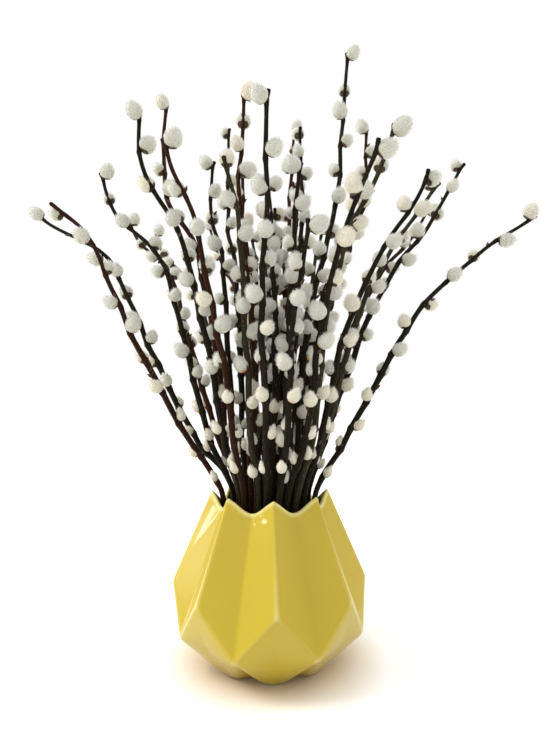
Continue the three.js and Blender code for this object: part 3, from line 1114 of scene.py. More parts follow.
@dataclass
class PleatedVase:
    """A slip-cast vase of eight pleats: sharp ridges and valleys over soft kites, with a wavy rim."""

    pleats: int = 8
    first_ridge: float = 3.2 * DEG
    peak: tuple[float, float] = (51.6, 140.0)
    dip: tuple[float, float] = (44.4, 128.5)
    belly: tuple[float, float] = (85.0, 65.0)
    hip: tuple[float, float] = (81.0, 28.6)
    toe: tuple[float, float] = (50.0, 0.0)
    toe_corner: tuple[float, float] = (48.5, 0.0)
    corner_turn: float = 10 * DEG
    heel: tuple[float, float] = (40.0, 0.0)
    wall: float = 3.6
    floor: float = 5.5
    floor_fillet: float = 7.0
    foot_round: float = 1.3
    kite_bend: float = 11.0
    least_bend: float = 1e-3
    columns: int = 48
    rows: int = 104
    rim_rows: int = 8
    floor_rows: int = 9
    foot_rows: int = 8
    outer_rounding: int = 2
    inner_rounding: int = 9
    fold_blur: int = 6
    fold_depth: float = 0.42
    fold_start: float = 0.75
    pool_depth: float = 0.6
    pale_rim: float = 1.6
    seam: float = 0.02
    marks: tuple[str, ...] = ("fold", "pool", "bare_clay")

    def build(self, glaze: bpy.types.Material) -> bpy.types.Object:
        """Draws one pleat, and goes round the vase with it.

        Args:
            glaze: The vase's material.

        Returns:
            The finished piece.
        """
        return self._round_recipe().make("pleated_vase", self._pleat_mesh(), {
            "Pleats": self.pleats, "First ridge": self.first_ridge - math.pi / 2,
            "Seam": self.seam * MM, "Material": glaze})

    def _round_recipe(self) -> Recipe:
        """The tree that sets the pleat round the axis and closes its seams.

        Returns:
            The finished tree.
        """
        recipe = Recipe("pleats_round_the_axis", {
            "Pleats": ("NodeSocketInt", 8), "First ridge": ("NodeSocketFloat", 0.0),
            "Seam": ("NodeSocketFloat", 0.0), "Material": ("NodeSocketMaterial", None)})
        graph, given = recipe.graph, recipe.given
        pleats = Wire(graph, given["Pleats"])
        spots = graph.wire("GeometryNodePoints", sockets={"Count": pleats})
        index = graph.wire("GeometryNodeInputIndex")
        turn = index / pleats * (2 * math.pi) + Wire(graph, given["First ridge"])
        rotation = graph.wire("FunctionNodeEulerToRotation", sockets={
            "Euler": recipe.combine(0.0, 0.0, turn)})
        placed = graph.wire("GeometryNodeInstanceOnPoints", sockets={
            "Points": spots, "Instance": given["Geometry"], "Rotation": rotation})
        real = graph.wire("GeometryNodeRealizeInstances", sockets={"Geometry": placed})
        closed = graph.wire("GeometryNodeMergeByDistance", sockets={
            "Geometry": real, "Distance": given["Seam"]})
        recipe.finish(recipe.smooth(closed))
        return recipe

    def _facets(self) -> list[np.ndarray]:
        """The six flat facets of half a pleat, its ridge along +X.

        Returns:
            Each facet's three corners. The last two meet in the kite's bend.
        """
        half = math.pi / self.pleats

        def corner(place: tuple[float, float], angle: float) -> np.ndarray:
            """A corner at a radius, height and angle."""
            return np.array([place[0] * math.cos(angle), place[0] * math.sin(angle), place[1]])

        peak, belly, toe = (corner(p, 0.0) for p in (self.peak, self.belly, self.toe))
        dip, hip, heel = (corner(p, half) for p in (self.dip, self.hip, self.heel))
        side = corner(self.toe_corner, self.corner_turn)
        bend = np.array([hip[0], 0.0, hip[2]])
        return [np.array(t) for t in (
            (belly, peak, dip), (belly, dip, hip), (hip, toe, side), (hip, side, heel),
            (belly, hip, bend), (toe, hip, bend))]

    def _radius(self, angle: np.ndarray, height: np.ndarray) -> np.ndarray:
        """How far the sharp outside stands from the axis.

        Args:
            angle: Angles from a ridge.
            height: The heights that go with them.

        Returns:
            The radii.
        """
        angle = np.abs(angle)
        found, inside = [], []
        for a, b, c in self._facets():
            normal = np.cross(b - a, c - a)
            reach = normal @ a - normal[2] * height
            radius = reach / (normal[0] * np.cos(angle) + normal[1] * np.sin(angle))
            spot = np.stack([radius * np.cos(angle), radius * np.sin(angle), height], -1)
            weights = [np.cross(q - p, spot - p) @ normal / (normal @ normal)
                       for p, q in ((a, b), (b, c), (c, a))]
            found.append(radius)
            inside.append(np.min(weights, 0))
        half = math.pi / self.pleats
        soft = np.maximum(self.kite_bend * (1 - angle / half), self.least_bend)
        lean = np.clip(0.5 + 0.5 * (found[5] - found[4]) / soft, 0, 1)
        kite = found[5] * (1 - lean) + found[4] * lean - soft * lean * (1 - lean)
        found[4] = found[5] = kite
        best = np.argmax(inside, 0)
        return np.take_along_axis(np.stack(found), best[None], 0)[0]

    def _rim_height(self, angle: np.ndarray) -> np.ndarray:
        """The rim's wave, from a pointed peak down to a round dip.

        Args:
            angle: Angles from a ridge.

        Returns:
            The rim's heights.
        """
        off = np.abs(angle) * self.pleats / math.pi
        wave = 0.5 + 0.5 * np.cos(math.pi * off)
        crest = 1 - off * (2 - off)
        return self.dip[1] + (self.peak[1] - self.dip[1]) * (wave + crest) / 2

    @staticmethod
    def _soften(grid: np.ndarray, rounds: int) -> np.ndarray:
        """A grid of radii blurred a little, on round the pleat and up its height.

        Args:
            grid: The radii, by row and column.
            rounds: How many times it is blurred.

        Returns:
            The blurred grid.
        """
        for _ in range(rounds):
            across = np.concatenate([grid[:, -2:-1], grid, grid[:, 1:2]], 1)
            grid = (across[:, :-2] + 2 * across[:, 1:-1] + across[:, 2:]) / 4
            upward = np.concatenate([grid[:1], grid, grid[-1:]], 0)
            grid = (upward[:-2] + 2 * upward[1:-1] + upward[2:]) / 4
        return grid

    def _sections(self) -> tuple[list[tuple[np.ndarray, np.ndarray]], list[dict[str, Any]]]:
        """The pleat's rows from the middle of the underside, out and over the rim, to the inside.

        Returns:
            Each row's radii and heights, and what it carries.
        """
        half = math.pi / self.pleats
        angle = np.linspace(-half, half, self.columns + 1)
        rim = self._rim_height(angle)
        lip = self.wall / 2
        share = np.linspace(0, 1, self.rows + 1)[:, None]
        heights = share * (rim - lip)
        sharp = self._radius(np.broadcast_to(angle, heights.shape), heights)
        outside = self._soften(sharp, self.outer_rounding)
        plain = self._soften(sharp, self.fold_blur)
        fold = np.clip((outside - plain) / self.fold_depth - self.fold_start, 0, 1)
        pool = np.clip((plain - outside) / self.pool_depth, 0, 1)
        near_rim = np.clip((heights - rim + lip + self.pale_rim) / self.pale_rim, 0, 1)
        near_foot = np.clip(self.foot_round - heights, 0, self.foot_round)
        outside = outside - (self.foot_round - np.sqrt(self.foot_round**2 - near_foot**2))
        inside = self._soften(sharp, self.inner_rounding) - self.wall
        zero = np.zeros_like(angle)
        rows, carried = [], []

        def add(radius: np.ndarray, height: np.ndarray, **values: Any) -> None:
            """Adds a row: its radii, its heights and the marks that aren't zero all along it."""
            rows.append((radius, height))
            carried.append({**dict.fromkeys(self.marks, zero), **values})

        for i in range(1, self.foot_rows):
            add(outside[0] * i / self.foot_rows, zero, bare_clay=zero + 1)
        for i in range(self.rows + 1):
            add(outside[i], heights[i], fold=np.maximum(fold[i], near_rim[i]), pool=pool[i],
                bare_clay=zero + float(i == 0))
        for i in range(1, self.rim_rows):
            turn = math.pi * i / self.rim_rows
            middle = (outside[-1] + inside[-1]) / 2
            width = (outside[-1] - inside[-1]) / 2
            add(middle + width * math.cos(turn), rim - lip + lip * math.sin(turn), fold=zero + 1)
        for i in range(self.rows, -1, -1):
            above = heights[i] - self.floor
            if np.all(above > 0):
                depth = np.clip(self.floor_fillet - above, 0, self.floor_fillet)
                drawn = self.floor_fillet - np.sqrt(self.floor_fillet**2 - depth**2)
                add(inside[i] - drawn, heights[i], fold=near_rim[i])
                last = inside[i] - self.floor_fillet
        for i in range(self.floor_rows - 1, 0, -1):
            add(last * i / self.floor_rows, zero + self.floor)
        return rows, carried

    def _pleat_mesh(self) -> bpy.types.Mesh:
        """One pleat of the whole wall, its ridge along +X, open only at its two sides.

        Returns:
            The mesh, in metres.
        """
        half = math.pi / self.pleats
        angle = np.linspace(-half, half, self.columns + 1)
        rows, carried = self._sections()
        width = self.columns + 1
        points = [(0.0, 0.0, 0.0)]
        for radius, height in rows:
            points += list(zip(radius * np.cos(angle), radius * np.sin(angle), height))
        points.append((0.0, 0.0, self.floor))
        top = len(points) - 1
        faces = []
        for j in range(self.columns):
            faces.append((0, 2 + j, 1 + j))
            for i in range(len(rows) - 1):
                a, b = 1 + i * width + j, 1 + (i + 1) * width + j
                faces.append((a, a + 1, b + 1, b))
            last = 1 + (len(rows) - 1) * width + j
            faces.append((last, last + 1, top))
        mesh = bpy.data.meshes.new("pleat")
        mesh.from_pydata([(x * MM, y * MM, z * MM) for x, y, z in points], [], faces)
        for label in self.marks:
            under = float(label == "bare_clay")
            values = np.concatenate([[under], *[c[label] for c in carried], [0.0]])
            layer = mesh.attributes.new(label, "FLOAT", "POINT")
            layer.data.foreach_set("value", values.astype(np.float32))
        return mesh


# ---------- the branches ----------


@dataclass
class StemMaker:
    """Draws a branch's stem: swollen and turned a little at each bud, with a blunt cut tip."""

    bunch: Bunch
    step: float = 3.0
    sides: int = 9
    swelling: float = 0.30
    swelling_reach: float = 1.9
    swelling_drop: float = 0.8
    stout: float = 0.45
    straight_top: float = 120.0
    kink: float = 1.0
    lower_kink: float = 0.5
    lump: float = 0.22
    lump_scale: float = 260.0
    tip_over: float = 4.5
    tip_aside: float = 3.6
    knob: Pairs = ((1.6, 1.15), (0.7, 1.2), (0.2, 0.95), (0.0, 0.6))

    def __post_init__(self) -> None:
        """Makes the tree that sweeps the bark along a line."""
        self.recipe = Recipe("bark_along_a_line", {
            "Sides": ("NodeSocketInt", 9), "Lump": ("NodeSocketFloat", 0.0),
            "Lump scale": ("NodeSocketFloat", 200.0), "Material": ("NodeSocketMaterial", None)})
        recipe, graph, given = self.recipe, self.recipe.graph, self.recipe.given
        line = graph.wire("GeometryNodeMeshToCurve", sockets={"Mesh": given["Geometry"]})
        ring = graph.wire("GeometryNodeCurvePrimitiveCircle", sockets={
            "Resolution": given["Sides"], "Radius": 1.0})
        swept = graph.wire("GeometryNodeCurveToMesh", sockets={
            "Curve": line, "Profile Curve": ring, "Scale": recipe.field("girth"),
            "Fill Caps": True})
        noise = graph.wire("ShaderNodeTexNoise", sockets={"Scale": given["Lump scale"], "Detail": 2.0})
        rise = (noise - 0.5) * Wire(graph, given["Lump"])
        normal = graph.wire("GeometryNodeInputNormal")
        offset = recipe.vector("SCALE", normal, rise)
        lumpy = graph.wire("GeometryNodeSetPosition", sockets={"Geometry": swept, "Offset": offset})
        recipe.finish(recipe.smooth(lumpy))

    def middle(self, branch: Branch, height: float) -> Point:
        """Where the middle of the stem is, bent away from each catkin in turn.

        Args:
            branch: The branch.
            height: The height, in millimetres.

        Returns:
            The point there.
        """
        place = self.bunch.point(branch, height)
        ends = [(self.straight_top, (0.0, 0.0, 0.0))]
        ends += [(bud.height, bud.across) for bud in reversed(branch.catkins)]
        last = ends[-1][1]
        far = self.tip_aside / self.kink
        ends.append((branch.top + self.tip_over + 1, (last[0] * far, last[1] * far, last[2] * far)))
        for (low, first), (high, second) in zip(ends, ends[1:]):
            if low <= height < high:
                away = between(first, second, (height - low) / (high - low))
                bend = self.kink * mix(self.lower_kink, 1.0, self.bunch.growth(height))
                return plus(place, away, -bend)
        return place

    def girth(self, branch: Branch, height: float) -> float:
        """Half the stem's thickness, with a swelling under each catkin.

        Args:
            branch: The branch.
            height: The height, in millimetres.

        Returns:
            The half thickness, in millimetres.
        """
        freed = clamp((height - self.bunch.rim) / self.bunch.freeing_height)
        plain = self.bunch.stem_radius(branch, height) * (1 + self.stout * freed)
        swollen = sum(math.exp(-((height - bud.height + self.swelling_drop) / self.swelling_reach) ** 2)
                      for bud in reversed(branch.catkins))
        return plain * (1 + self.swelling * min(swollen, 1.0))

    def build(self, name: str, branch: Branch, material: bpy.types.Material) -> bpy.types.Object:
        """Draws one stem as a closed piece.

        Args:
            name: The piece's name.
            branch: The branch.
            material: Its bark.

        Returns:
            The piece.
        """
        tip = branch.top + self.tip_over
        low, high = self.bunch.cut_end, tip - self.knob[0][0]
        steps = math.ceil((high - low) / self.step)
        heights = [mix(low, high, i / steps) for i in range(steps)]
        girths = [self.girth(branch, h) for h in heights]
        for below, factor in self.knob:
            heights.append(tip - below)
            girths.append(self.bunch.stem_tip * (1 + self.stout) * factor)
        points = [self.middle(branch, h) for h in heights]
        edges = [(i, i + 1) for i in range(len(points) - 1)]
        source = point_mesh(name, points, edges, {"girth": [g * MM for g in girths]})
        return self.recipe.make(name, source, {
            "Sides": self.sides, "Lump": self.lump * MM, "Lump scale": self.lump_scale,
            "Material": material})


@dataclass
class DownMaker:
    """Grows a branch's catkins: an egg-shaped bud each, under short forward-leaning hairs."""

    bunch: Bunch
    segments: int = 10
    rings: int = 8
    blunt: float = 0.22
    plump: float = 1.04
    lower_plump: float = 1.10
    tall: float = 0.97
    lower_tall: float = 1.10
    raised: float = 0.4
    young_below: float = 0.6
    young_point: float = 0.5
    young_warmth: float = 0.75
    cool_share: float = 0.72
    full_girth: float = 11.6
    hairs: float = 1.32
    hair_length: float = 2.5
    hair_least: float = 0.65
    hair_most: float = 1.25
    hair_width: float = 0.165
    hair_sunk: float = 0.12
    hair_foot: float = 0.08
    forward: float = 2.0
    unruly: float = 0.45

    def __post_init__(self) -> None:
        """Makes the tree that sets buds on points and hairs on the buds."""
        self.recipe = Recipe("down_on_buds", {
            "Segments": ("NodeSocketInt", 10), "Rings": ("NodeSocketInt", 8),
            "Blunt end": ("NodeSocketFloat", 0.2), "Young point": ("NodeSocketFloat", 0.5),
            "Hairs": ("NodeSocketFloat", 0.0), "Hair length": ("NodeSocketFloat", 0.001),
            "Hair width": ("NodeSocketFloat", 0.0002), "Forward": ("NodeSocketFloat", 1.0),
            "Full girth": ("NodeSocketFloat", 0.01), "Seed": ("NodeSocketInt", 1),
            "Material": ("NodeSocketMaterial", None)})
        recipe, graph, given = self.recipe, self.recipe.graph, self.recipe.given
        girth, length, young = (recipe.field(name) for name in ("girth", "length", "young"))
        axis = recipe.field("axis", "FLOAT_VECTOR")
        size = recipe.combine(girth, girth, length)
        buds = graph.node("GeometryNodeJoinGeometry")
        for chosen, point in ((1 - young, 0.0), (young, Wire(graph, given["Young point"]))):
            grown = recipe.grow(given["Geometry"], self._bud_form(point), axis, size, chosen.above(0.5))
            graph.tree.links.new(grown.socket, buds.inputs[0])
        bodies = recipe.smooth(Wire(graph, buds.outputs[0]))
        scatter = graph.node("GeometryNodeDistributePointsOnFaces", sockets={
            "Mesh": bodies, "Density": given["Hairs"], "Seed": given["Seed"]})
        jitter = [recipe.random(-self.unruly, self.unruly, seed) for seed in (11, 12, 13)]
        ahead = recipe.vector("SCALE", axis, given["Forward"])
        way = recipe.vector("ADD", scatter.outputs["Normal"], ahead)
        way = recipe.vector("ADD", way, recipe.combine(*jitter))
        uneven = recipe.random(self.hair_least, self.hair_most, 14)
        tall = uneven * Wire(graph, given["Hair length"]) * (girth / Wire(graph, given["Full girth"]))
        wide = Wire(graph, given["Hair width"])
        hairs = recipe.grow(scatter.outputs["Points"], self._hair_form(), way,
                            recipe.combine(wide, wide, tall))
        both = graph.node("GeometryNodeJoinGeometry")
        graph.tree.links.new(hairs.socket, both.inputs[0])
        graph.tree.links.new(bodies.socket, both.inputs[0])
        recipe.finish(both.outputs[0])

    def _bud_form(self, point: Any) -> Wire:
        """An egg one long on Z and one wide, blunt below and narrower above.

        Args:
            point: How much its upper end is drawn in to a point.

        Returns:
            The form.
        """
        recipe, graph, given = self.recipe, self.recipe.graph, self.recipe.given
        ball = graph.wire("GeometryNodeMeshUVSphere", sockets={
            "Segments": given["Segments"], "Rings": given["Rings"], "Radius": 1.0})
        place = graph.wire("GeometryNodeInputPosition")
        split = graph.node("ShaderNodeSeparateXYZ", sockets={0: place})
        x, y, z = (Wire(graph, out) for out in split.outputs)
        along = z * 0.5 + 0.5
        taper = 0.5 * (1 - Wire(graph, given["Blunt end"]) * z) * (1 - z.at_least(0.0) * point)
        marked = recipe.keep(ball, "along", along)
        shaped = recipe.combine(x * taper, y * taper, along)
        return graph.wire("GeometryNodeSetPosition", sockets={"Geometry": marked, "Position": shaped})

    def _hair_form(self) -> Wire:
        """A three-sided spike one long on Z, its foot sunk in the bud.

        Returns:
            The form.
        """
        recipe, graph = self.recipe, self.recipe.graph
        spike = graph.wire("GeometryNodeMeshCone", {"fill_type": "TRIANGLE_FAN"}, {
            "Vertices": 3, "Radius Top": 0.0, "Radius Bottom": 1.0, "Depth": 1.0})
        split = graph.node("ShaderNodeSeparateXYZ", sockets={
            0: graph.wire("GeometryNodeInputPosition")})
        marked = recipe.keep(spike, "hair", Wire(graph, split.outputs[2]) + self.hair_foot)
        return graph.wire("GeometryNodeTransform", sockets={
            "Geometry": marked, "Translation": (0.0, 0.0, -self.hair_sunk)})

    def foot(self, catkin: Catkin) -> Point:
        """Where a catkin's bud starts, just clear of the stem's middle."""
        return plus(catkin.base, catkin.axis, self.raised)

    def girth(self, catkin: Catkin) -> float:
        """How thick a catkin's bud is, in metres."""
        plump = mix(self.lower_plump, self.plump, self.bunch.growth(catkin.height))
        return 2 * catkin.radius * plump * MM

    def length(self, catkin: Catkin) -> float:
        """How long a catkin's bud is, in metres."""
        tall = mix(self.lower_tall, self.tall, self.bunch.growth(catkin.height))
        return catkin.length * tall * MM

    def build(self, name: str, branch: Branch, seed: int,
              material: bpy.types.Material) -> bpy.types.Object:
        """Grows one branch's catkins.

        Args:
            name: The piece's name.
            branch: The branch.
            seed: Where its random numbers start.
            material: The down.

        Returns:
            The piece.
        """
        stream = RandomStream.settled(seed)
        catkins = branch.catkins
        young = [float(self.bunch.growth(c.height) < self.young_below) for c in catkins]
        warmth = [max(0.0, stream.draw() - self.cool_share) / (1 - self.cool_share) for _ in catkins]
        warmth = [max(w, self.young_warmth * y) for w, y in zip(warmth, young)]
        source = point_mesh(
            name, [self.foot(c) for c in catkins],
            numbers={"girth": [self.girth(c) for c in catkins],
                     "length": [self.length(c) for c in catkins],
                     "warmth": warmth, "young": young},
            vectors={"axis": [c.axis for c in catkins]})
        return self.recipe.make(name, source, {
            "Segments": self.segments, "Rings": self.rings, "Blunt end": self.blunt,
            "Young point": self.young_point, "Hairs": self.hairs / MM**2,
            "Hair length": self.hair_length * MM, "Hair width": self.hair_width * MM,
            "Forward": self.forward, "Full girth": self.full_girth * MM, "Seed": seed,
            "Material": material})


@dataclass
class ScaleMaker:
    """Sets the brown scales: a two-lipped cup under each catkin, and small pointed buds between."""

    bunch: Bunch
    downs: DownMaker
    sides: int = 10
    cup_rings: int = 4
    lip_low: float = 0.035
    lip_high: float = 0.12
    lip_sharpness: float = 1.5
    cup_gap: float = 0.012
    cup_wall: float = 0.03
    cup_stout: float = 1.3
    cup_least: float = 0.004
    cup_under: float = -0.05
    cup_inside: float = 0.03
    bud_outline: Pairs = ((0.08, 0.30), (0.3, 0.5), (0.6, 0.40), (0.85, 0.17))
    bud_length: float = 5.8
    bud_width: float = 2.6
    bud_least: float = 0.75
    bud_most: float = 1.15
    extra_eyes: int = 6
    eyes_from_rim: float = 12.0
    eyes_from_tip: float = 14.0
    fresh_below: float = 275.0
    fresh_above: float = 205.0
    fresh_share: float = 0.2

    def __post_init__(self) -> None:
        """Makes the forms and the tree that sets them on points."""
        self.cup = self._form("cup_form", *self._cup())
        self.bud = self._form("bud_form", *self._bud())
        self.recipe = Recipe("scales_on_eyes", {
            "Cup": ("NodeSocketObject", None), "Bud": ("NodeSocketObject", None),
            "Material": ("NodeSocketMaterial", None)})
        recipe, graph, given = self.recipe, self.recipe.graph, self.recipe.given
        girth, length = recipe.field("girth"), recipe.field("length")
        axis = recipe.field("axis", "FLOAT_VECTOR")
        bare = recipe.field("bare")
        both = graph.node("GeometryNodeJoinGeometry")
        for label, chosen in (("Cup", 1 - bare), ("Bud", bare)):
            form = graph.wire("GeometryNodeObjectInfo", sockets={"Object": given[label]},
                              output="Geometry")
            size = recipe.combine(girth, girth, length)
            placed = recipe.grow(given["Geometry"], form, axis, size, chosen.above(0.5))
            graph.tree.links.new(recipe.smooth(placed).socket, both.inputs[0])
        recipe.finish(both.outputs[0])

    @staticmethod
    def _form(name: str, points: list[Point], faces: list[tuple[int, ...]]) -> bpy.types.Object:
        """A small mesh object that a recipe copies.

        Args:
            name: The object's name.
            points: Its corners.
            faces: Its faces, as indices of the corners.

        Returns:
            The object.
        """
        mesh = bpy.data.meshes.new(name)
        mesh.from_pydata(points, [], faces)
        made = bpy.data.objects.new(name, mesh)
        bpy.context.scene.collection.objects.link(made)
        return made

    def _ring(self, radius: float, height: float) -> list[Point]:
        """A level ring of points at a radius and a height."""
        turns = [2 * math.pi * j / self.sides for j in range(self.sides)]
        return [(radius * math.cos(turn), radius * math.sin(turn), height) for turn in turns]

    def _skin(self, rings: list[list[Point]], foot: Point, top: Point) -> Skin:
        """A closed skin through rings.

        Args:
            rings: The rings, each with the same number of points.
            foot: The point that closes the first ring.
            top: The point that closes the last ring.

        Returns:
            The skin's points and faces.
        """
        points = [foot]
        for ring in rings:
            points += ring
        points.append(top)
        n, last = self.sides, len(points) - 1
        faces: list[tuple[int, ...]] = []
        for j in range(n):
            k = (j + 1) % n
            faces.append((0, 1 + k, 1 + j))
            for i in range(len(rings) - 1):
                a, b = 1 + i * n, 1 + (i + 1) * n
                faces.append((a + j, a + k, b + k, b + j))
            end = 1 + (len(rings) - 1) * n
            faces.append((end + j, end + k, last))
        return points, faces

    def _cup(self) -> Skin:
        """A thin cup round the catkin's foot, with two high lips.

        Returns:
            The cup's points and faces.
        """

        def ring(share: float, out: float) -> list[Point]:
            """One of the cup's rings.

            Args:
                share: The share of the cup's height that it lies at.
                out: How far it stands out from the catkin.

            Returns:
                The ring's points.
            """
            points = []
            for j in range(self.sides):
                turn = 2 * math.pi * j / self.sides
                lip = mix(self.lip_low, self.lip_high, abs(math.cos(turn)) ** self.lip_sharpness)
                t = max(share * lip, self.cup_least)
                z = 2 * t - 1
                radius = 0.5 * math.sqrt(1 - z * z) * (1 - self.downs.blunt * z) + out
                points.append((radius * math.cos(turn), radius * math.sin(turn), t))
            return points

        shares = [i / self.cup_rings for i in range(1, self.cup_rings + 1)]
        outer = [ring(s, self.cup_gap + self.cup_wall * (self.cup_stout - s)) for s in shares]
        inner = [ring(s, self.cup_gap * s) for s in reversed(shares)]
        return self._skin(outer + inner, (0.0, 0.0, self.cup_under), (0.0, 0.0, self.cup_inside))

    def _bud(self) -> Skin:
        """A small pointed bud, one long."""
        rings = [self._ring(radius, along) for along, radius in self.bud_outline]
        return self._skin(rings, (0.0, 0.0, 0.0), (0.0, 0.0, 1.0))

    def build(self, name: str, branch: Branch, seed: int,
              material: bpy.types.Material) -> bpy.types.Object:
        """Sets one branch's scales and small buds.

        Args:
            name: The piece's name.
            branch: The branch.
            seed: Where its random numbers start.
            material: The scales' skin.

        Returns:
            The piece.
        """
        stream = RandomStream.settled(seed)
        points, axes, girths, lengths, bare, fresh = [], [], [], [], [], []
        for catkin in branch.catkins:
            points.append(self.downs.foot(catkin))
            axes.append(catkin.axis)
            girths.append(self.downs.girth(catkin))
            lengths.append(self.downs.length(catkin))
            bare.append(0.0)
            young = self.fresh_above < catkin.height < self.fresh_below
            fresh.append(float(young and stream.draw() < self.fresh_share))
        for eye in self._eyes(branch, stream):
            points.append(eye.base)
            axes.append(eye.axis)
            size = mix(self.bud_least, self.bud_most, stream.draw())
            girths.append(self.bud_width * size * MM)
            lengths.append(self.bud_length * size * MM)
            bare.append(1.0)
            fresh.append(0.0)
        source = point_mesh(
            name, points, numbers={"girth": girths, "length": lengths, "bare": bare, "fresh": fresh},
            vectors={"axis": axes})
        return self.recipe.make(name, source, {
            "Cup": self.cup, "Bud": self.bud, "Material": material})

    def _eyes(self, branch: Branch, stream: RandomStream) -> list[Catkin]:
        """Where the small buds that never opened sit, between the catkins.

        Args:
            branch: The branch.
            stream: The piece's random numbers.

        Returns:
            Each bud's place and direction, as a catkin's.
        """
        eyes = []
        low, high = self.bunch.rim + self.eyes_from_rim, branch.top - self.eyes_from_tip
        for _ in range(self.extra_eyes):
            height = mix(low, high, stream.draw())
            side = 2 * math.pi * stream.draw()
            eyes.append(self.bunch.catkin_at(branch, height, side, 1.0))
        return eyes

    def clear(self) -> None:
        """Takes the forms away once every piece is made."""
        for form in (self.cup, self.bud):
            bpy.data.objects.remove(form)


# ---------- the room ----------


@dataclass(frozen=True)
class Lamp:
    """A flat light: its place, what it faces, its size, its power, and whether it is mirrored."""

    name: str
    place: Point
    target: Point
    size: tuple[float, float]
    power: float
    mirrored: bool = True

    def build(self) -> None:
        """Hangs the light and turns it to its target."""
        light = bpy.data.lights.new(self.name, "AREA")
        light.shape = "RECTANGLE"
        light.size, light.size_y = self.size
        light.energy = self.power
        lamp = bpy.data.objects.new(self.name, light)
        bpy.context.scene.collection.objects.link(lamp)
        lamp.location = self.place
        away = minus(self.place, self.target)
        flat = math.hypot(away[0], away[1])
        lamp.rotation_euler = (math.atan2(flat, away[2]), 0.0, math.atan2(away[0], -away[1]))
        lamp.visible_glossy = self.mirrored


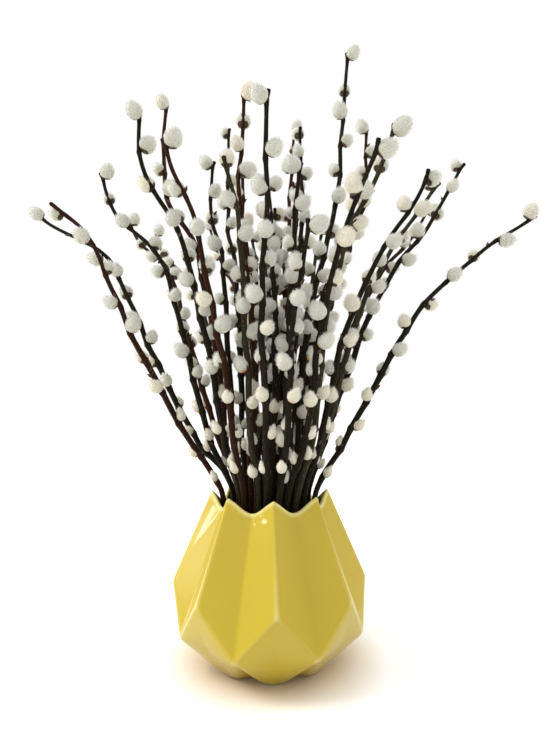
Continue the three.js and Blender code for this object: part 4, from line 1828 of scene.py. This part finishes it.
@dataclass
class Room:
    """A white floor with a painted shadow round the vase, soft lights, and the camera close in front."""

    floor_half: float = 6.0
    floor_level: float = -0.0002
    floor_pale: Colour = (0.85, 0.84, 0.82)
    floor_paler: Colour = (0.87, 0.86, 0.84)
    # painted shadow round the vase's foot, warm as if lit by light off the yellow vase; its share, its
    # reach from the axis and its fade follow
    floor_painted_shadow: Colour = (0.60, 0.47, 0.31)
    floor_cloud_scale: float = 3
    painted_shadow_share: float = 0.85
    painted_shadow_within: float = 0.055
    painted_shadow_fade: float = 0.045
    camera_place: Point = (0.0, -0.4578, 0.2209)
    camera_up: float = 0.062
    camera_right: float = 0.010
    camera_roll: float = 0.003
    lens: float = 25.08
    horizon: float = 0.7
    overhead: float = 0.95
    lamps: tuple[Lamp, ...] = (
        Lamp("key_light", (-1.1, -0.1, 1.0), (0, 0, 0.15), (0.5, 0.7), 17.0, mirrored=False),
        Lamp("fill_light", (1.1, 0.5, 0.45), (0, 0, 0.1), (0.6, 0.8), 6.0, mirrored=False),
        Lamp("small_lamp", (-0.97, -0.22, 0.38), (0, 0, 0.12), (0.012, 0.012), 0.014),
        Lamp("window_bar_0", (-1.04, 0.01, 0.24), (0, 0, 0.1), (0.012, 0.22), 0.13),
        Lamp("window_bar_1", (-1.04, 0.06, 0.24), (0, 0, 0.1), (0.012, 0.22), 0.20),
        Lamp("window_bar_2", (-1.04, 0.13, 0.24), (0, 0, 0.1), (0.012, 0.22), 0.13))

    def build(self) -> None:
        """Makes the floor, the light and the camera."""
        self._floor()
        self._sky()
        for lamp in self.lamps:
            lamp.build()
        self._camera()
        bpy.context.scene.view_settings.view_transform = "Standard"

    def _floor(self) -> None:
        """A wide pale floor just under the vase's foot, with a warm painted shadow round the foot,
        tinted as if lit by light off the yellow vase.
        """
        half, level = self.floor_half, self.floor_level
        mesh = bpy.data.meshes.new("floor")
        mesh.from_pydata([(-half, -half, level), (half, -half, level), (half, half, level),
                          (-half, half, level)], [], [(0, 1, 2, 3)])
        floor = bpy.data.objects.new("floor", mesh)
        bpy.context.scene.collection.objects.link(floor)
        material, graph, shader = principled("white_floor", {
            "Roughness": 0.9, "Specular IOR Level": 0.1})
        place = graph.wire("ShaderNodeTexCoord", output="Object")
        away = graph.wire("ShaderNodeVectorMath", {"operation": "LENGTH"}, {0: place}, "Value")
        # painted shadow: darker and warmer within about 5 cm of the axis, fading out by about 10 cm
        in_painted_shadow = (1 - (away - self.painted_shadow_within) * (1 / self.painted_shadow_fade)).clamped()
        cloud = graph.noise(self.floor_cloud_scale, detail=2)
        pale = graph.tint(cloud, self.floor_pale, self.floor_paler)
        tone = graph.tint(in_painted_shadow * self.painted_shadow_share, pale, self.floor_painted_shadow)
        graph.tree.links.new(tone.socket, shader.inputs["Base Color"])
        mesh.materials.append(material)

    def _sky(self) -> None:
        """White light from all round, stronger from overhead, in front of a plain white wall."""
        world = bpy.data.worlds.new("white_room")
        bpy.context.scene.world = world
        world.use_nodes = True
        world.node_tree.nodes.clear()
        graph = Graph(world.node_tree)
        way = graph.wire("ShaderNodeTexCoord", output="Generated")
        split = graph.node("ShaderNodeSeparateXYZ", sockets={0: way})
        height = Wire(graph, split.outputs[2]).clamped()
        seen = graph.wire("ShaderNodeLightPath", output="Is Camera Ray")
        lit = self.horizon + self.overhead * height
        light = graph.node("ShaderNodeBackground", sockets={
            "Color": (1.0, 1.0, 1.0, 1.0), "Strength": lit + seen * (1 - lit)})
        graph.node("ShaderNodeOutputWorld", sockets={"Surface": light.outputs[0]})

    def _camera(self) -> None:
        """The camera, looking slightly up at the bunch."""
        camera = bpy.data.cameras.new("camera")
        camera.lens = self.lens
        camera.clip_start, camera.clip_end = 0.01, 60.0
        holder = bpy.data.objects.new("camera", camera)
        bpy.context.scene.collection.objects.link(holder)
        holder.location = self.camera_place
        holder.rotation_euler = (math.pi / 2 + self.camera_up, self.camera_roll, -self.camera_right)
        bpy.context.scene.camera = holder


def main() -> None:
    """Builds the room, the vase and every branch."""
    logging.basicConfig(level=logging.INFO, format="%(message)s")
    Room().build()
    finish_piece(PleatedVase().build(Glaze().material()), "glaze", "vase")
    bunch = Bunch()
    bunch.build()
    stems, downs = StemMaker(bunch), DownMaker(bunch)
    scales = ScaleMaker(bunch, downs)
    barks = {bark: finish.material() for bark, finish in BARKS.items()}
    down, skin = DownFinish().material(), ScaleFinish().material()
    for i, branch in enumerate(bunch.branches):
        node = f"branch_{i + 1:02d}"
        bark = BARK_ORDER[i % len(BARK_ORDER)]
        seed = FIRST_SEED + i
        finish_piece(stems.build(f"{node}_stem", branch, barks[bark]), bark.value, node)
        finish_piece(downs.build(f"{node}_catkins", branch, seed, down), "catkin_down", node)
        finish_piece(scales.build(f"{node}_scales", branch, seed, skin), "bud_scale", node)
    scales.clear()


if __name__ == "__main__":
    main()
